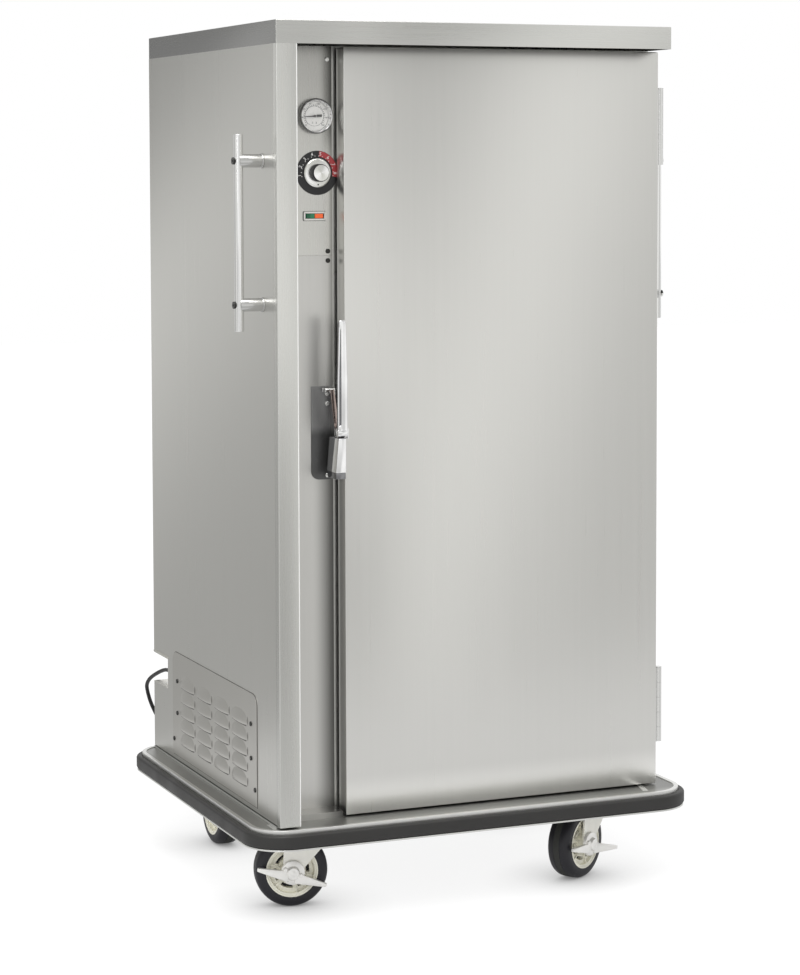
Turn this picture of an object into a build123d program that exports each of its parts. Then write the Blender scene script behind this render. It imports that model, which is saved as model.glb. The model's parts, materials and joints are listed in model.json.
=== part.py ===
from build123d import *
import math
import os

# Heated banquet cabinet, in millimetres. Z is up, the floor is Z 0 and the front faces -Y.
# X 0 and Y 0 are the middle of the cabinet.

# Cabinet body
cabinet_width = 737.0
cabinet_depth = 700.0
cabinet_height = 1350.0
deck_height = 167.0
skin = 1.5
cap_height = 39.0
cap_ledge = 14.0
post_width = 38.0
post_wrap = 15.0
seam = 0.3

# Front: how far things lie behind the front plane, and the control recess
door_setback = 48.0
door_thickness = 32.0
gasket_thickness = 8.0
gasket_width = 20.0
gasket_inset = 8.0
seal_clearance = 0.3
door_gap = 3.0
recess_width = 100.0
recess_sill_height = 6.5
recess_sill_depth = 40.0
post_foot_gap = 4.0
door_bottom_gap = 2.5
control_panel_height = 354.0
jamb_lap = 6.0
jamb_width = 36.0
right_jamb_width = 30.0
rail_height = 30.0
frame_depth = 24.0
tube_wall = 1.5

# Heated cavity, its lining and the air duct on its left
liner = 1.0
rear_insulation = 25.0
duct_depth = 41.0
left_insulation = 24.0
control_space_depth = 38.0
slot_length = 42.0
slot_height = 7.0
slot_pitch = 85.0
slot_columns = 5
slot_column_pitch = 100.0
first_slot_height = 330.0
door_plug_depth = 12.0
door_plug_clearance = 8.0

# Shelves and their uprights
shelf_count = 3
shelf_rod_radius = 4.0
shelf_wire_radius = 2.5
shelf_wires = 13
upright_width = 26.0
upright_thickness = 3.0
shelf_ledge = 14.0
shelf_clearance = 1.0
upright_inset = 70.0

# Deck, bumper and trim
bumper_side_overhang = 49.0
bumper_end_overhang = 23.0
bumper_corner_radius = 74.0
bumper_thickness = 11.0
bumper_height = 24.0
bumper_drop = 5.0
bumper_rounding = 5.0
trim_web = 3.0
trim_lip = 8.0
trim_lip_thickness = 1.5
trim_foot = 3.0
trim_foot_inset = 1.5
deck_plate = 3.0
plinth_height = 4.0
plinth_overhang = 1.5
plinth_rail = 30.0
caster_rail_width = 120.0
caster_rail_overrun = 60.0

# Casters
caster_height = 156.0
front_caster_inset = 104.5
rear_caster_inset = 89.5
front_caster_setback = 112.5
rear_caster_setback = 134.0
caster_trail = 43.0
left_caster_turn = -13.0
right_caster_turn = 31.2
wheel_diameter = 127.0
wheel_width = 44.0
rim_radius = 45.4
rim_fit = 0.05
rim_lip = 6.0
rim_web = 30.0
rim_slot_count = 6
rim_slot_angle = 36.0
rim_slot_width = 5.5
rim_slot_circle = 28.0
hub_radius = 15.0
hub_clearance = 0.5
tyre_rounding = 7.0
axle_radius = 5.0
running_fit = 0.05
plate_length = 100.0
plate_width = 86.0
plate_thickness = 4.0
race_radius = 35.0
race_height = 10.0
race_gap = 0.3
king_pin_radius = 6.0
fork_thickness = 3.5
fork_side_gap = 4.0
fork_crown_radius = 33.0
fork_crown_gap = 3.0
fork_lead = 14.0
fork_eye_radius = 17.0
axle_head_radius = 8.5
axle_head_height = 5.0
pedal_hub_radius = 21.0
pedal_hub_length = 12.0
pedal_span = 120.0
pedal_root_height = 15.0
pedal_tip_height = 6.0
pedal_thickness = 8.0
pedal_tilt = 15.0
pedal_gap = 0.3
pedal_drop = 7.0

# Hinges on the right edge
hinge_length = 134.0
hinge_heights = (140.0, 1176.0)
hinge_plate = 1.6
hinge_arm = 3.0
hinge_play = 0.3
barrel_radius = 6.0
pin_radius = 3.0
barrel_offset = 8.0
barrel_setback = 56.0
frame_leaf_length = 20.0
door_leaf_length = 26.0
knuckle_gap = 0.4

# Latch on the door's left edge
latch_height = 659.0
lever_length = 191.0
lever_width = 18.0
lever_tip_width = 13.0
lever_thickness = 7.0
lever_edge_gap = 5.0
lever_front_setback = 20.0
latch_body_height = 59.5
latch_body_width = 19.5
latch_body_depth = 44.0
latch_flange = 2.0
latch_pivot_radius = 3.0
latch_knuckle_radius = 8.0
latch_strap_height = 72.0
strike_width = 36.0
strike_height = 160.0
strike_thickness = 1.5
strike_corner = 14.0
strike_fin_depth = 22.0
strike_rise = 75.0
strike_edge_gap = 4.0

# Controls in the recess: how far each lies from the left wall and above the deck
thermometer_x = 100.7
thermometer_height = 1193.0
thermometer_radius = 30.0
thermometer_case_radius = 27.0
thermometer_case_depth = 26.0
thermometer_wall = 1.5
thermometer_front = 11.5
lens_thickness = 1.5
dial_thickness = 1.0
needle_length = 20.0
needle_tail = 9.0
needle_thickness = 0.6
needle_spindle_radius = 1.2
small_clearance = 0.1
thermostat_x = 105.0
thermostat_height = 1097.0
thermostat_dial_radius = 37.5
thermostat_dial_thickness = 1.5
thermostat_body_size = 46.0
thermostat_body_depth = 34.0
thermostat_bush_radius = 6.0
knob_skirt_radius = 24.5
knob_skirt_height = 3.5
knob_grip_radius = 15.0
knob_grip_height = 16.0
knob_gap = 0.5
knob_shaft_radius = 3.0
knob_shaft_length = 22.0
indicator_x = 99.7
indicator_height = 1024.0
bezel_width = 40.0
bezel_height = 15.0
bezel_thickness = 2.5
lamp_width = 14.6
lamp_height = 7.6
lamp_length = 24.0
lamp_gap = 1.0

# Push handles
handle_length = 330.0
handle_post_spacing = 241.0
handle_height = 997.0
handle_offset = 42.0
handle_radius = 8.0
handle_post_radius = 11.0
left_handle_setback = 71.0
right_handle_setback = 130.0
handle_screw_radius = 3.0
handle_head_radius = 6.0
handle_head_height = 2.5

# Louvered panel on the left wall
louver_front = 113.0
louver_rear = 580.0
louver_bottom = 10.0
louver_top = 203.5
louver_corner = 20.0
louver_panel_thickness = 1.5
louver_columns = 4
louver_rows = 5
louver_column_pitch = 96.5
louver_row_pitch = 26.6
louver_length = 84.0
louver_hood_height = 17.0
louver_hood_depth = 5.0
louver_first_row = 49.5
louver_border = 41.0
louver_border_top = 30.0
louver_border_bottom = 23.0
louver_screw_heights = (150.5, 90.5, 39.0)
louver_screw_insets = (28.0, 28.0, 8.0)

# Machine compartment
blower_setback = 330.0
blower_height = 120.0
blower_radius = 75.0
blower_wall = 1.5
blower_inlet_radius = 46.0
blower_outlet_height = 100.0
blower_duct_gap = 1.0
impeller_radius = 62.0
impeller_width = 28.0
impeller_blades = 20
impeller_blade_depth = 12.0
impeller_hub_radius = 10.0
motor_radius = 40.0
motor_length = 46.0
motor_shaft_radius = 4.0
motor_flange = 1.5
heater_rod_radius = 4.0
heater_rows = 3
heater_row_pitch = 46.0
heater_length = 260.0
heater_height = 280.0
heater_foot = 5.0

# Cord recess at the rear left corner, strain relief, cord and plug
cord_recess_length = 98.0
cord_recess_depth = 86.0
cord_recess_bottom = 126.0
cord_recess_top = 181.0
gland_x = 22.0
gland_height = 148.0
gland_flange_radius = 12.0
gland_flange = 4.0
gland_length = 26.0
gland_root_radius = 9.0
gland_tip_radius = 5.6
cord_diameter = 7.5
coil_gap = 1.0
coil_turns_in = 5
coil_centre = (-88.5, 455.0)
coil_outer_radius = 54.0
coil_tail_radius = 59.0
plug_length = 38.0
plug_width = 30.0
plug_boot_length = 20.0
plug_boot_radius = 6.0
plug_rounding = 4.0
blade_length = 18.0
blade_height = 6.3
blade_thickness = 1.6
blade_spacing = 12.7
ground_pin_radius = 2.4
ground_pin_length = 21.0

# Small screws: truss head with a short thread
screw_head_radius = 4.2
screw_head_height = 2.0
screw_radius = 2.0
screw_length = 6.0
screw_hole_fit = 0.1

# Places that follow from the sizes above
left_x = -cabinet_width / 2
right_x = cabinet_width / 2
front_y = -cabinet_depth / 2
rear_y = cabinet_depth / 2
deck_z = deck_height
deck_top_z = deck_z - plinth_height
top_z = deck_z + cabinet_height
cap_z = top_z - cap_height
door_left_x = left_x + post_width + recess_width
door_front_y = front_y + door_setback
door_rear_y = door_front_y + door_thickness
frame_y = door_rear_y + gasket_thickness
frame_rear_y = frame_y + frame_depth
door_bottom_z = deck_top_z + door_bottom_gap
door_top_z = cap_z - door_gap
jamb_left_x = door_left_x - jamb_lap
cavity_left_x = jamb_left_x + jamb_width
cavity_right_x = right_x - right_jamb_width
cavity_rear_y = rear_y - skin - rear_insulation - liner
cavity_bottom_z = deck_z + rail_height
cavity_top_z = cap_z - rail_height
duct_left_x = cavity_left_x - liner - duct_depth
duct_front_y = frame_y + skin + control_space_depth
axle_z = wheel_diameter / 2
hinge_x = right_x + barrel_offset
hinge_y = front_y + barrel_setback


def block(x, y, z):
    """Box between pairs of X, Y and Z values."""
    size = (x[1] - x[0], y[1] - y[0], z[1] - z[0])
    centre = ((x[0] + x[1]) / 2, (y[0] + y[1]) / 2, (z[0] + z[1]) / 2)
    return Pos(*centre) * Box(*size)


def rod(start, end, radius):
    """Round bar from one point to another."""
    start, end = Vector(*start), Vector(*end)
    along = end - start
    plane = Plane(origin=start, z_dir=along.normalized())
    return plane * Cylinder(radius, along.length, align=(Align.CENTER, Align.CENTER, Align.MIN))


def tube(x, y, z, axis):
    """Rectangular tube with open ends along one axis."""
    outer = block(x, y, z)
    spans = [[a + tube_wall, b - tube_wall] for a, b in (x, y, z)]
    spans["XYZ".index(axis)] = [(x, y, z)["XYZ".index(axis)][0] - 1, (x, y, z)["XYZ".index(axis)][1] + 1]
    return outer - block(*spans)


def upright_plane(x=0.0, y=0.0, z=0.0):
    """Plane facing the front, whose own axes are X and Z."""
    return Plane(origin=(x, y, z), x_dir=(1, 0, 0), z_dir=(0, -1, 0))


def prism(points, plane, depth):
    """Solid of an outline drawn on a plane, raised along the plane's normal."""
    return extrude(plane * Polygon(*points, align=None), depth, dir=plane.z_dir)


def save(name, shapes):
    """Write one node: all the solids of one or more shapes."""
    shapes = shapes if isinstance(shapes, (list, tuple)) else [shapes]
    solids = [solid for shape in shapes for solid in shape.solids()]
    export_step(Compound(solids), f"parts/{name}.step")


def screw(x, y, z, out):
    """Truss head screw whose head sits at a point and faces out."""
    out = Vector(*out)
    seat = Vector(x, y, z)
    head = rod(seat, seat + out * screw_head_height, screw_head_radius)
    crown = head.edges().filter_by(GeomType.CIRCLE).sort_by(lambda e: (e.center() - seat).dot(out))[-1]
    head = fillet(crown, screw_head_height * 0.8)
    return head + rod(seat, seat - out * screw_length, screw_radius)


def screw_hole(x, y, z, out):
    """Clearance hole under a screw's head."""
    out, seat = Vector(*out), Vector(x, y, z)
    return rod(seat + out, seat - out * (screw_length + 1), screw_radius + screw_hole_fit)


# Screw places, used by the panels' holes and by the screws
def louver_screw_points():
    """Three screws down the front border and three down the rear one."""
    face = left_x - louver_panel_thickness
    points = []
    for height, inset in zip(louver_screw_heights, louver_screw_insets):
        for y in (louver_front + inset, louver_rear - inset):
            points.append((face, front_y + y, deck_z + height))
    return points


def control_screw_points():
    xs = (left_x + post_width + 8.0, jamb_left_x - 8.0)
    low, high = cap_z - control_panel_height + 7.0, cap_z - 22.0
    return [(x, frame_y, z) for x in xs for z in (low, high)]


def recess_screw_points():
    xs = (left_x + post_width + 8.0, jamb_left_x - 8.0)
    high = cap_z - control_panel_height - 9.0
    return [(x, frame_y, high) for x in xs]


def strike_screw_points():
    x = strike_right_x() - 7.0
    top = strike_top_z()
    return [(x, frame_y - strike_thickness, top - dz) for dz in (13.0, 30.0, strike_height - 7.0)]


def ledge_screw_point():
    return (left_x + 14.0, rear_y - cord_recess_depth / 2, deck_z + cord_recess_bottom)


def strike_right_x():
    return jamb_left_x - strike_edge_gap


def strike_top_z():
    return deck_z + latch_height + strike_rise


# Deck, trim and bumper
def rounded_slab(inset, z):
    """Slab with the bumper's outline, drawn in by an inset."""
    width = cabinet_width + 2 * (bumper_side_overhang - inset)
    depth = cabinet_depth + 2 * (bumper_end_overhang - inset)
    outline = RectangleRounded(width, depth, bumper_corner_radius - inset)
    return Pos(0, 0, z[0]) * extrude(outline, z[1] - z[0])


def caster_places():
    """Caster plate centres: front left, front right, rear left, rear right."""
    front_x, rear_x = cabinet_width / 2 - front_caster_inset, cabinet_width / 2 - rear_caster_inset
    front, rear = front_y + front_caster_setback, rear_y - rear_caster_setback
    return {"front_left": (-front_x, front), "front_right": (front_x, front),
            "rear_left": (-rear_x, rear), "rear_right": (rear_x, rear)}


def plinth():
    """Low frame of flat bars under the walls, with a foot for the front left post."""
    left, y = left_x - plinth_overhang, (frame_y, rear_y)
    z = (deck_top_z, deck_z)
    ring = block((left, right_x), y, z)
    ring -= block((left_x + plinth_rail, right_x - plinth_rail), (y[0] + plinth_rail, y[1] - plinth_rail),
                  (z[0] - 1, z[1] + 1))
    side = block((left, left_x + post_wrap), (front_y + post_wrap, frame_y), z)
    inside_lip = rounded_slab(bumper_thickness + trim_lip + seam, z)
    return (ring + side) & inside_lip


def base_deck():
    """Steel deck with the plinth on it, on two flat rails that the casters bolt to."""
    plate = rounded_slab(bumper_thickness + trim_web, (deck_top_z - deck_plate, deck_top_z))
    places = caster_places()
    shapes = [plate + plinth()]
    half = caster_rail_width / 2
    for side in ("left", "right"):
        x = (places["front_" + side][0] + places["rear_" + side][0]) / 2
        front, rear = places["front_" + side][1], places["rear_" + side][1]
        y = (front - caster_rail_overrun, rear + caster_rail_overrun)
        shapes.append(block((x - half, x + half), y, (caster_height, deck_top_z - deck_plate)))
    return shapes


def bumper_levels():
    """Bottom and top of the rubber."""
    top = deck_top_z - bumper_drop
    return (top - bumper_height, top)


def bumper():
    """Rubber profile round the whole deck, with rounded outer edges."""
    z = bumper_levels()
    outer = rounded_slab(0, z)
    rims = outer.edges().group_by(Axis.Z)
    outer = fillet(rims[0] + rims[-1], bumper_rounding)
    return outer - rounded_slab(bumper_thickness, (z[0] - 1, z[1] + 1))


def bumper_trim():
    """Bright channel behind the rubber: a lip over the deck's edge and a foot under the rubber."""
    foot_top = bumper_levels()[0]
    bottom, top = foot_top - trim_foot, deck_top_z + trim_lip_thickness
    outer = rounded_slab(bumper_thickness, (bottom, top))
    foot = rounded_slab(trim_foot_inset, (bottom, foot_top))
    below = rounded_slab(bumper_thickness + trim_web, (bottom - 1, deck_top_z))
    through = rounded_slab(bumper_thickness + trim_lip, (deck_top_z - 1, top + 1))
    return outer + foot - below - through


# Outer shell
def louver_opening():
    y = (front_y + louver_front + louver_border, front_y + louver_rear - louver_border)
    z = (deck_z + louver_bottom + louver_border_bottom, deck_z + louver_top - louver_border_top)
    return block((left_x - 1, left_x + skin + 1), y, z)


def cord_recess(grow=0.0):
    """Air space of the recess at the rear left corner."""
    x = (left_x - 5, left_x + cord_recess_length + grow)
    y = (rear_y - cord_recess_depth - grow, rear_y + 5)
    return block(x, y, (deck_z + cord_recess_bottom - grow, deck_z + cord_recess_top + grow))


def left_side_panel():
    y = (front_y + post_wrap + seam, rear_y - skin)
    wall = block((left_x, left_x + skin), y, (deck_z, cap_z))
    wall = wall - louver_opening() - cord_recess(skin)
    for point in louver_screw_points():
        wall -= screw_hole(left_x - louver_panel_thickness, point[1], point[2], (-1, 0, 0))
    return wall - handle_thread_holes("left")


def right_side_panel():
    wall = block((right_x - skin, right_x), (frame_y, rear_y - skin), (deck_z, cap_z))
    return wall - handle_thread_holes("right")


def rear_panel():
    wall = block((left_x, right_x), (rear_y - skin, rear_y), (deck_z, cap_z))
    return wall - cord_recess(skin)


def rear_service_box():
    """Folded steel pocket that the cord comes out of."""
    inside = cord_recess()
    x = (left_x, left_x + cord_recess_length + skin)
    y = (rear_y - cord_recess_depth - skin, rear_y)
    z = (deck_z + cord_recess_bottom - skin, deck_z + cord_recess_top + skin)
    pocket = block(x, y, z) - inside
    pocket -= screw_hole(*ledge_screw_point(), (0, 0, 1))
    gx, gz = left_x + gland_x, deck_z + gland_height
    return pocket - rod((gx, y[0] - 1, gz), (gx, y[0] + skin + 1, gz), gland_tip_radius)


def top_cap():
    """Cap: a tray turned down all round, with a soffit over the door."""
    outer = block((left_x, right_x), (front_y, rear_y), (cap_z, top_z))
    inner_x, inner_y = (left_x + skin, right_x - skin), (front_y + skin, rear_y - skin)
    inner = block(inner_x, inner_y, (cap_z + skin, top_z - skin))
    hole_x = (left_x + cap_ledge, right_x - cap_ledge)
    hole = block(hole_x, (frame_rear_y, rear_y - cap_ledge), (cap_z - 1, cap_z + skin + 1))
    return outer - inner - hole


def front_left_post():
    """Folded corner post that guards the controls and the latch."""
    z = (deck_z + post_foot_gap, cap_z)
    front = block((left_x, left_x + post_width), (front_y, front_y + skin), z)
    side = block((left_x, left_x + skin), (front_y, front_y + post_wrap), z)
    inner = block((left_x + post_width - skin, left_x + post_width), (front_y, frame_y + skin), z)
    post = front + side + inner
    corners = post.edges().filter_by(Axis.Z).filter_by(lambda e: abs(e.center().Y - front_y) < 0.01)
    return fillet(corners, skin * 0.9)


# Control recess
def control_panel():
    x = (left_x + post_width, jamb_left_x)
    plate = block(x, (frame_y, frame_y + skin), (cap_z - control_panel_height, cap_z))
    for point in control_screw_points():
        plate -= screw_hole(*point, (0, -1, 0))
    for dx, dz, radius in ((thermometer_x, thermometer_height, thermometer_case_radius),
                           (thermostat_x, thermostat_height, thermostat_bush_radius)):
        x, z = left_x + dx, deck_z + dz
        plate -= rod((x, frame_y - 1, z), (x, frame_y + skin + 1, z), radius + small_clearance)
    for x in lamp_centres():
        plate -= lamp_space(x, small_clearance)
    return plate


def recess_panel():
    """Lower plate of the recess, folded forward at its foot."""
    x = (left_x + post_width, jamb_left_x)
    top = cap_z - control_panel_height - seam
    sill_z = deck_z + recess_sill_height
    front = frame_y - recess_sill_depth
    plate = block(x, (frame_y, frame_y + skin), (sill_z - skin, top))
    shelf = block(x, (front, frame_y + skin), (sill_z - skin, sill_z))
    lip = block(x, (front, front + skin), (deck_top_z, sill_z))
    plate = plate + shelf + lip
    for point in recess_screw_points() + strike_screw_points():
        plate -= screw_hole(point[0], frame_y, point[2], (0, -1, 0))
    return plate


# Front frame, lining and insulation
def door_frame():
    """Head, sill and two jambs of steel tube round the cavity's mouth."""
    y = (frame_y, frame_rear_y)
    left = tube((jamb_left_x, cavity_left_x), y, (deck_z, cap_z), "Z")
    right = tube((cavity_right_x, right_x - skin), y, (deck_z, cap_z), "Z")
    inner = (cavity_left_x, cavity_right_x)
    sill = tube(inner, y, (deck_z, cavity_bottom_z), "X")
    head = tube(inner, y, (cavity_top_z, cap_z), "X")
    return [left, right, sill, head]


def blower_centre():
    return front_y + blower_setback, deck_z + blower_height


def duct_wall():
    """Left wall of the cavity: air slots above and the blower's inlet below."""
    y = (frame_rear_y, cavity_rear_y)
    wall = block((cavity_left_x - liner, cavity_left_x), y, (cavity_bottom_z, cavity_top_z))
    middle = (y[0] + y[1]) / 2
    x = (cavity_left_x - liner - 1, cavity_left_x + 1)
    row = first_slot_height
    while deck_z + row + slot_height < cavity_top_z - slot_pitch / 2:
        for column in range(slot_columns):
            centre = middle + (column - (slot_columns - 1) / 2) * slot_column_pitch
            z = (deck_z + row, deck_z + row + slot_height)
            wall -= block(x, (centre - slot_length / 2, centre + slot_length / 2), z)
        row += slot_pitch
    return wall - inlet_holes(x)


def inlet_holes(x):
    """Round holes over the blower's inlet, in two rings and a centre."""
    yc, zc = blower_centre()
    holes = rod((x[0], yc, zc), (x[1], yc, zc), 5.0)
    for ring, count in ((16.0, 8), (32.0, 16)):
        for i in range(count):
            angle = 2 * math.pi * i / count
            y, z = yc + ring * math.cos(angle), zc + ring * math.sin(angle)
            holes += rod((x[0], y, z), (x[1], y, z), 4.5)
    return holes


def cavity_liner():
    y = (frame_rear_y, cavity_rear_y)
    z = (cavity_bottom_z, cavity_top_z)
    right = block((cavity_right_x, cavity_right_x + liner), y, z)
    rear = block((duct_left_x, cavity_right_x + liner), (cavity_rear_y, cavity_rear_y + liner), z)
    whole_x = (duct_left_x - liner, cavity_right_x + liner)
    whole_y = (frame_rear_y, cavity_rear_y + liner)
    floor = block(whole_x, whole_y, (cavity_bottom_z - liner, cavity_bottom_z))
    roof = block(whole_x, whole_y, (cavity_top_z, cavity_top_z + liner))
    duct_back = block((duct_left_x - liner, duct_left_x), (duct_front_y, cavity_rear_y + liner), z)
    duct_end = block((duct_left_x, cavity_left_x - liner), (duct_front_y, duct_front_y + liner), z)
    yc, zc = blower_centre()
    hole = rod((duct_left_x - liner - 1, yc, zc), (duct_left_x + 1, yc, zc), motor_shaft_radius + 2)
    return [right, rear, floor, roof, duct_back - hole, duct_end, duct_wall()]


def insulation():
    """Mineral wool slabs between the lining and the outer shell."""
    rear = (cavity_rear_y + liner, rear_y - skin)
    outer_left = duct_left_x - liner - left_insulation
    right_x_span = (cavity_right_x + liner, right_x - skin)
    z = (cavity_bottom_z - liner, cavity_top_z + liner)
    right = block(right_x_span, (frame_rear_y, rear[0]), z)
    back = block((outer_left, right_x - skin), rear, z) - cord_recess(skin)
    floor = block((outer_left, right_x - skin), (frame_rear_y, rear[1]), (deck_z, z[0])) - cord_recess(skin)
    roof = block((outer_left, right_x - skin), (frame_rear_y, rear[1]), (z[1], cap_z))
    left = block((outer_left, duct_left_x - liner), (duct_front_y, rear[0]), z) - cord_recess(skin)
    yc, zc = blower_centre()
    motor_space = rod((outer_left - 1, yc, zc), (duct_left_x - liner + 1, yc, zc), motor_radius + 2)
    return [right, back, floor, roof, left - motor_space]


# Shelves
def upright_centres():
    return (frame_rear_y + upright_inset, cavity_rear_y - upright_inset)


def shelf_levels():
    """Height of each shelf's underside."""
    step = (cavity_top_z - cavity_bottom_z) / (shelf_count + 1)
    return [cavity_bottom_z + step * (i + 1) for i in range(shelf_count)]


def shelf_uprights():
    """Four slotted uprights, each with a ledge for every shelf."""
    shapes = []
    for wall, way in ((cavity_left_x, 1), (cavity_right_x, -1)):
        for centre in upright_centres():
            y = (centre - upright_width / 2, centre + upright_width / 2)
            x = sorted((wall, wall + way * upright_thickness))
            upright = block(x, y, (cavity_bottom_z, cavity_top_z))
            ledge_x = sorted((wall, wall + way * (upright_thickness + shelf_ledge)))
            for level in shelf_levels():
                upright += block(ledge_x, y, (level - upright_thickness, level))
            shapes.append(upright)
    return shapes


def shelf(level):
    """Wire shelf: two side rods, two end rods and the wires across."""
    reach = upright_thickness + shelf_clearance + shelf_rod_radius
    x = (cavity_left_x + reach, cavity_right_x - reach)
    y = (frame_rear_y + 8.0 + shelf_rod_radius, cavity_rear_y - 4.0 - shelf_rod_radius)
    z = level + shelf_rod_radius
    grid = rod((x[0], y[0], z), (x[0], y[1], z), shelf_rod_radius)
    grid += rod((x[1], y[0], z), (x[1], y[1], z), shelf_rod_radius)
    for end in y:
        grid += rod((x[0], end, z), (x[1], end, z), shelf_rod_radius)
    step = (x[1] - x[0]) / (shelf_wires + 1)
    for i in range(shelf_wires):
        wx = x[0] + step * (i + 1)
        grid += rod((wx, y[0], z), (wx, y[1], z), shelf_wire_radius)
    return grid


# Machine compartment
def blower_housing():
    """Sheet steel scroll with an inlet to the cavity and an outlet upwards."""
    yc, zc = blower_centre()
    x = (duct_left_x, cavity_left_x - liner - blower_duct_gap)
    outlet = (yc, yc + blower_radius)
    outer = rod((x[0], yc, zc), (x[1], yc, zc), blower_radius)
    outer += block(x, outlet, (zc, zc + blower_outlet_height))
    wall = blower_wall
    inner_x = (x[0] + wall, x[1] - wall)
    inner = rod((inner_x[0], yc, zc), (inner_x[1], yc, zc), blower_radius - wall)
    inner += block(inner_x, (yc, outlet[1] - wall), (zc, zc + blower_outlet_height + 1))
    inlet = rod((x[1] - wall - 1, yc, zc), (x[1] + 1, yc, zc), blower_inlet_radius)
    shaft = rod((x[0] - 1, yc, zc), (x[0] + wall + 1, yc, zc), motor_shaft_radius + 2)
    return outer - inner - inlet - shaft


def blower_motor():
    """Motor on the cool side of the duct, bored for its shaft."""
    yc, zc = blower_centre()
    x = (duct_left_x - liner - motor_length, duct_left_x - liner)
    body = rod((x[0], yc, zc), (x[1] - motor_flange, yc, zc), motor_radius - 2)
    body += rod((x[1] - motor_flange, yc, zc), (x[1], yc, zc), motor_radius)
    bore = rod((x[0] + motor_length / 2, yc, zc), (x[1] + 1, yc, zc), motor_shaft_radius + running_fit)
    return body - bore


def blower_wheel():
    """Impeller of straight blades between a back plate and a ring, with its shaft."""
    yc, zc = blower_centre()
    back = (duct_left_x + cavity_left_x - liner - blower_duct_gap) / 2 - impeller_width / 2
    front = back + impeller_width
    plate = rod((back, yc, zc), (back + 2, yc, zc), impeller_radius)
    ring = rod((front - 2, yc, zc), (front, yc, zc), impeller_radius)
    ring -= rod((front - 3, yc, zc), (front + 1, yc, zc), impeller_radius - impeller_blade_depth)
    hub = rod((back, yc, zc), (back + impeller_width / 2, yc, zc), impeller_hub_radius)
    start = duct_left_x - liner - motor_length / 2 + 1
    wheel = plate + ring + hub + rod((start, yc, zc), (back + 2, yc, zc), motor_shaft_radius)
    middle = impeller_radius - impeller_blade_depth / 2
    for i in range(impeller_blades):
        blade = Box(impeller_width, 1.2, impeller_blade_depth - 1)
        angle = 360 * i / impeller_blades
        spot = Pos((back + front) / 2, yc, zc) * Rot(angle, 0, 0) * Pos(0, 0, middle)
        wheel += spot * Rot(25, 0, 0) * blade
    return wheel


def heater_element():
    """Sheathed heater bent to and fro in the duct above the blower."""
    yc = front_y + blower_setback
    x = (duct_left_x + cavity_left_x - liner) / 2
    z = deck_z + heater_height
    half = heater_length / 2
    bend = heater_row_pitch / 2
    pieces = []
    for row in range(heater_rows):
        level = z + row * heater_row_pitch
        pieces.append(Line((x, yc - half, level), (x, yc + half, level)))
        if row < heater_rows - 1:
            side = 1 if row % 2 == 0 else -1
            start = (x, yc + side * half, level)
            middle = (x, yc + side * (half + bend), level + bend)
            pieces.append(ThreePointArc(start, middle, (x, yc + side * half, level + heater_row_pitch)))
    path = Wire(pieces)
    profile = Plane(origin=(x, yc - half, z), z_dir=(0, 1, 0)) * Circle(heater_rod_radius)
    element = sweep(profile, path=path)
    top = z + (heater_rows - 1) * heater_row_pitch + heater_rod_radius + heater_foot
    foot = z - heater_rod_radius - heater_foot
    for side in (-1, 1):
        y = yc + side * half * 0.6
        element += block((duct_left_x, x + heater_rod_radius), (y - 3, y + 3), (foot, top))
    return element


def louver_panel():
    """Screwed panel with rows of pressed louvers over the machine compartment."""
    y = (front_y + louver_front, front_y + louver_rear)
    z = (deck_z + louver_bottom, deck_z + louver_top)
    face = left_x - louver_panel_thickness
    plate = block((face, left_x), y, z)
    corners = plate.edges().filter_by(Axis.X).group_by(Axis.Z)[-1]
    plate = fillet(corners, louver_corner)
    for yc, zc in louver_centres():
        plate += louver_hood(yc, zc, face)
        plate -= louver_void(yc, zc, face)
    for point in louver_screw_points():
        plate -= screw_hole(*point, (-1, 0, 0))
    return plate


def louver_centres():
    middle = front_y + (louver_front + louver_rear) / 2
    low = deck_z + louver_first_row
    spots = []
    for column in range(louver_columns):
        y = middle + (column - (louver_columns - 1) / 2) * louver_column_pitch
        spots += [(y, low + row * louver_row_pitch) for row in range(louver_rows)]
    return spots


def louver_prism(yc, length, points):
    """Prism along Y from a profile of X and Z points."""
    return prism(points, upright_plane(y=yc + length / 2), length)


def louver_hood(yc, zc, face):
    """Pressed hood that stands out at its foot and fades into the panel at its top."""
    foot, height = zc - louver_hood_height / 2, louver_hood_height
    points = [(face + skin / 2, foot), (face - louver_hood_depth, foot),
              (face - louver_hood_depth * 0.75, foot + height * 0.35), (face, foot + height),
              (face + skin / 2, foot + height)]
    return louver_prism(yc, louver_length, points)


def louver_void(yc, zc, face):
    """Air way through the panel and out under the hood's foot."""
    foot, height, wall = zc - louver_hood_height / 2, louver_hood_height, louver_panel_thickness
    depth = louver_hood_depth - wall
    points = [(face + wall + 1, foot + 1), (face, foot + 1), (face, foot - 1), (face - depth, foot - 1),
              (face - depth, foot), (face - depth * 0.75, foot + height * 0.35 - wall / 2),
              (face, foot + height - 2 * wall), (face + wall + 1, foot + height - 2 * wall)]
    return louver_prism(yc, louver_length - 2 * wall, points)


# Controls
def thermometer_centre():
    return left_x + thermometer_x, deck_z + thermometer_height


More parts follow.
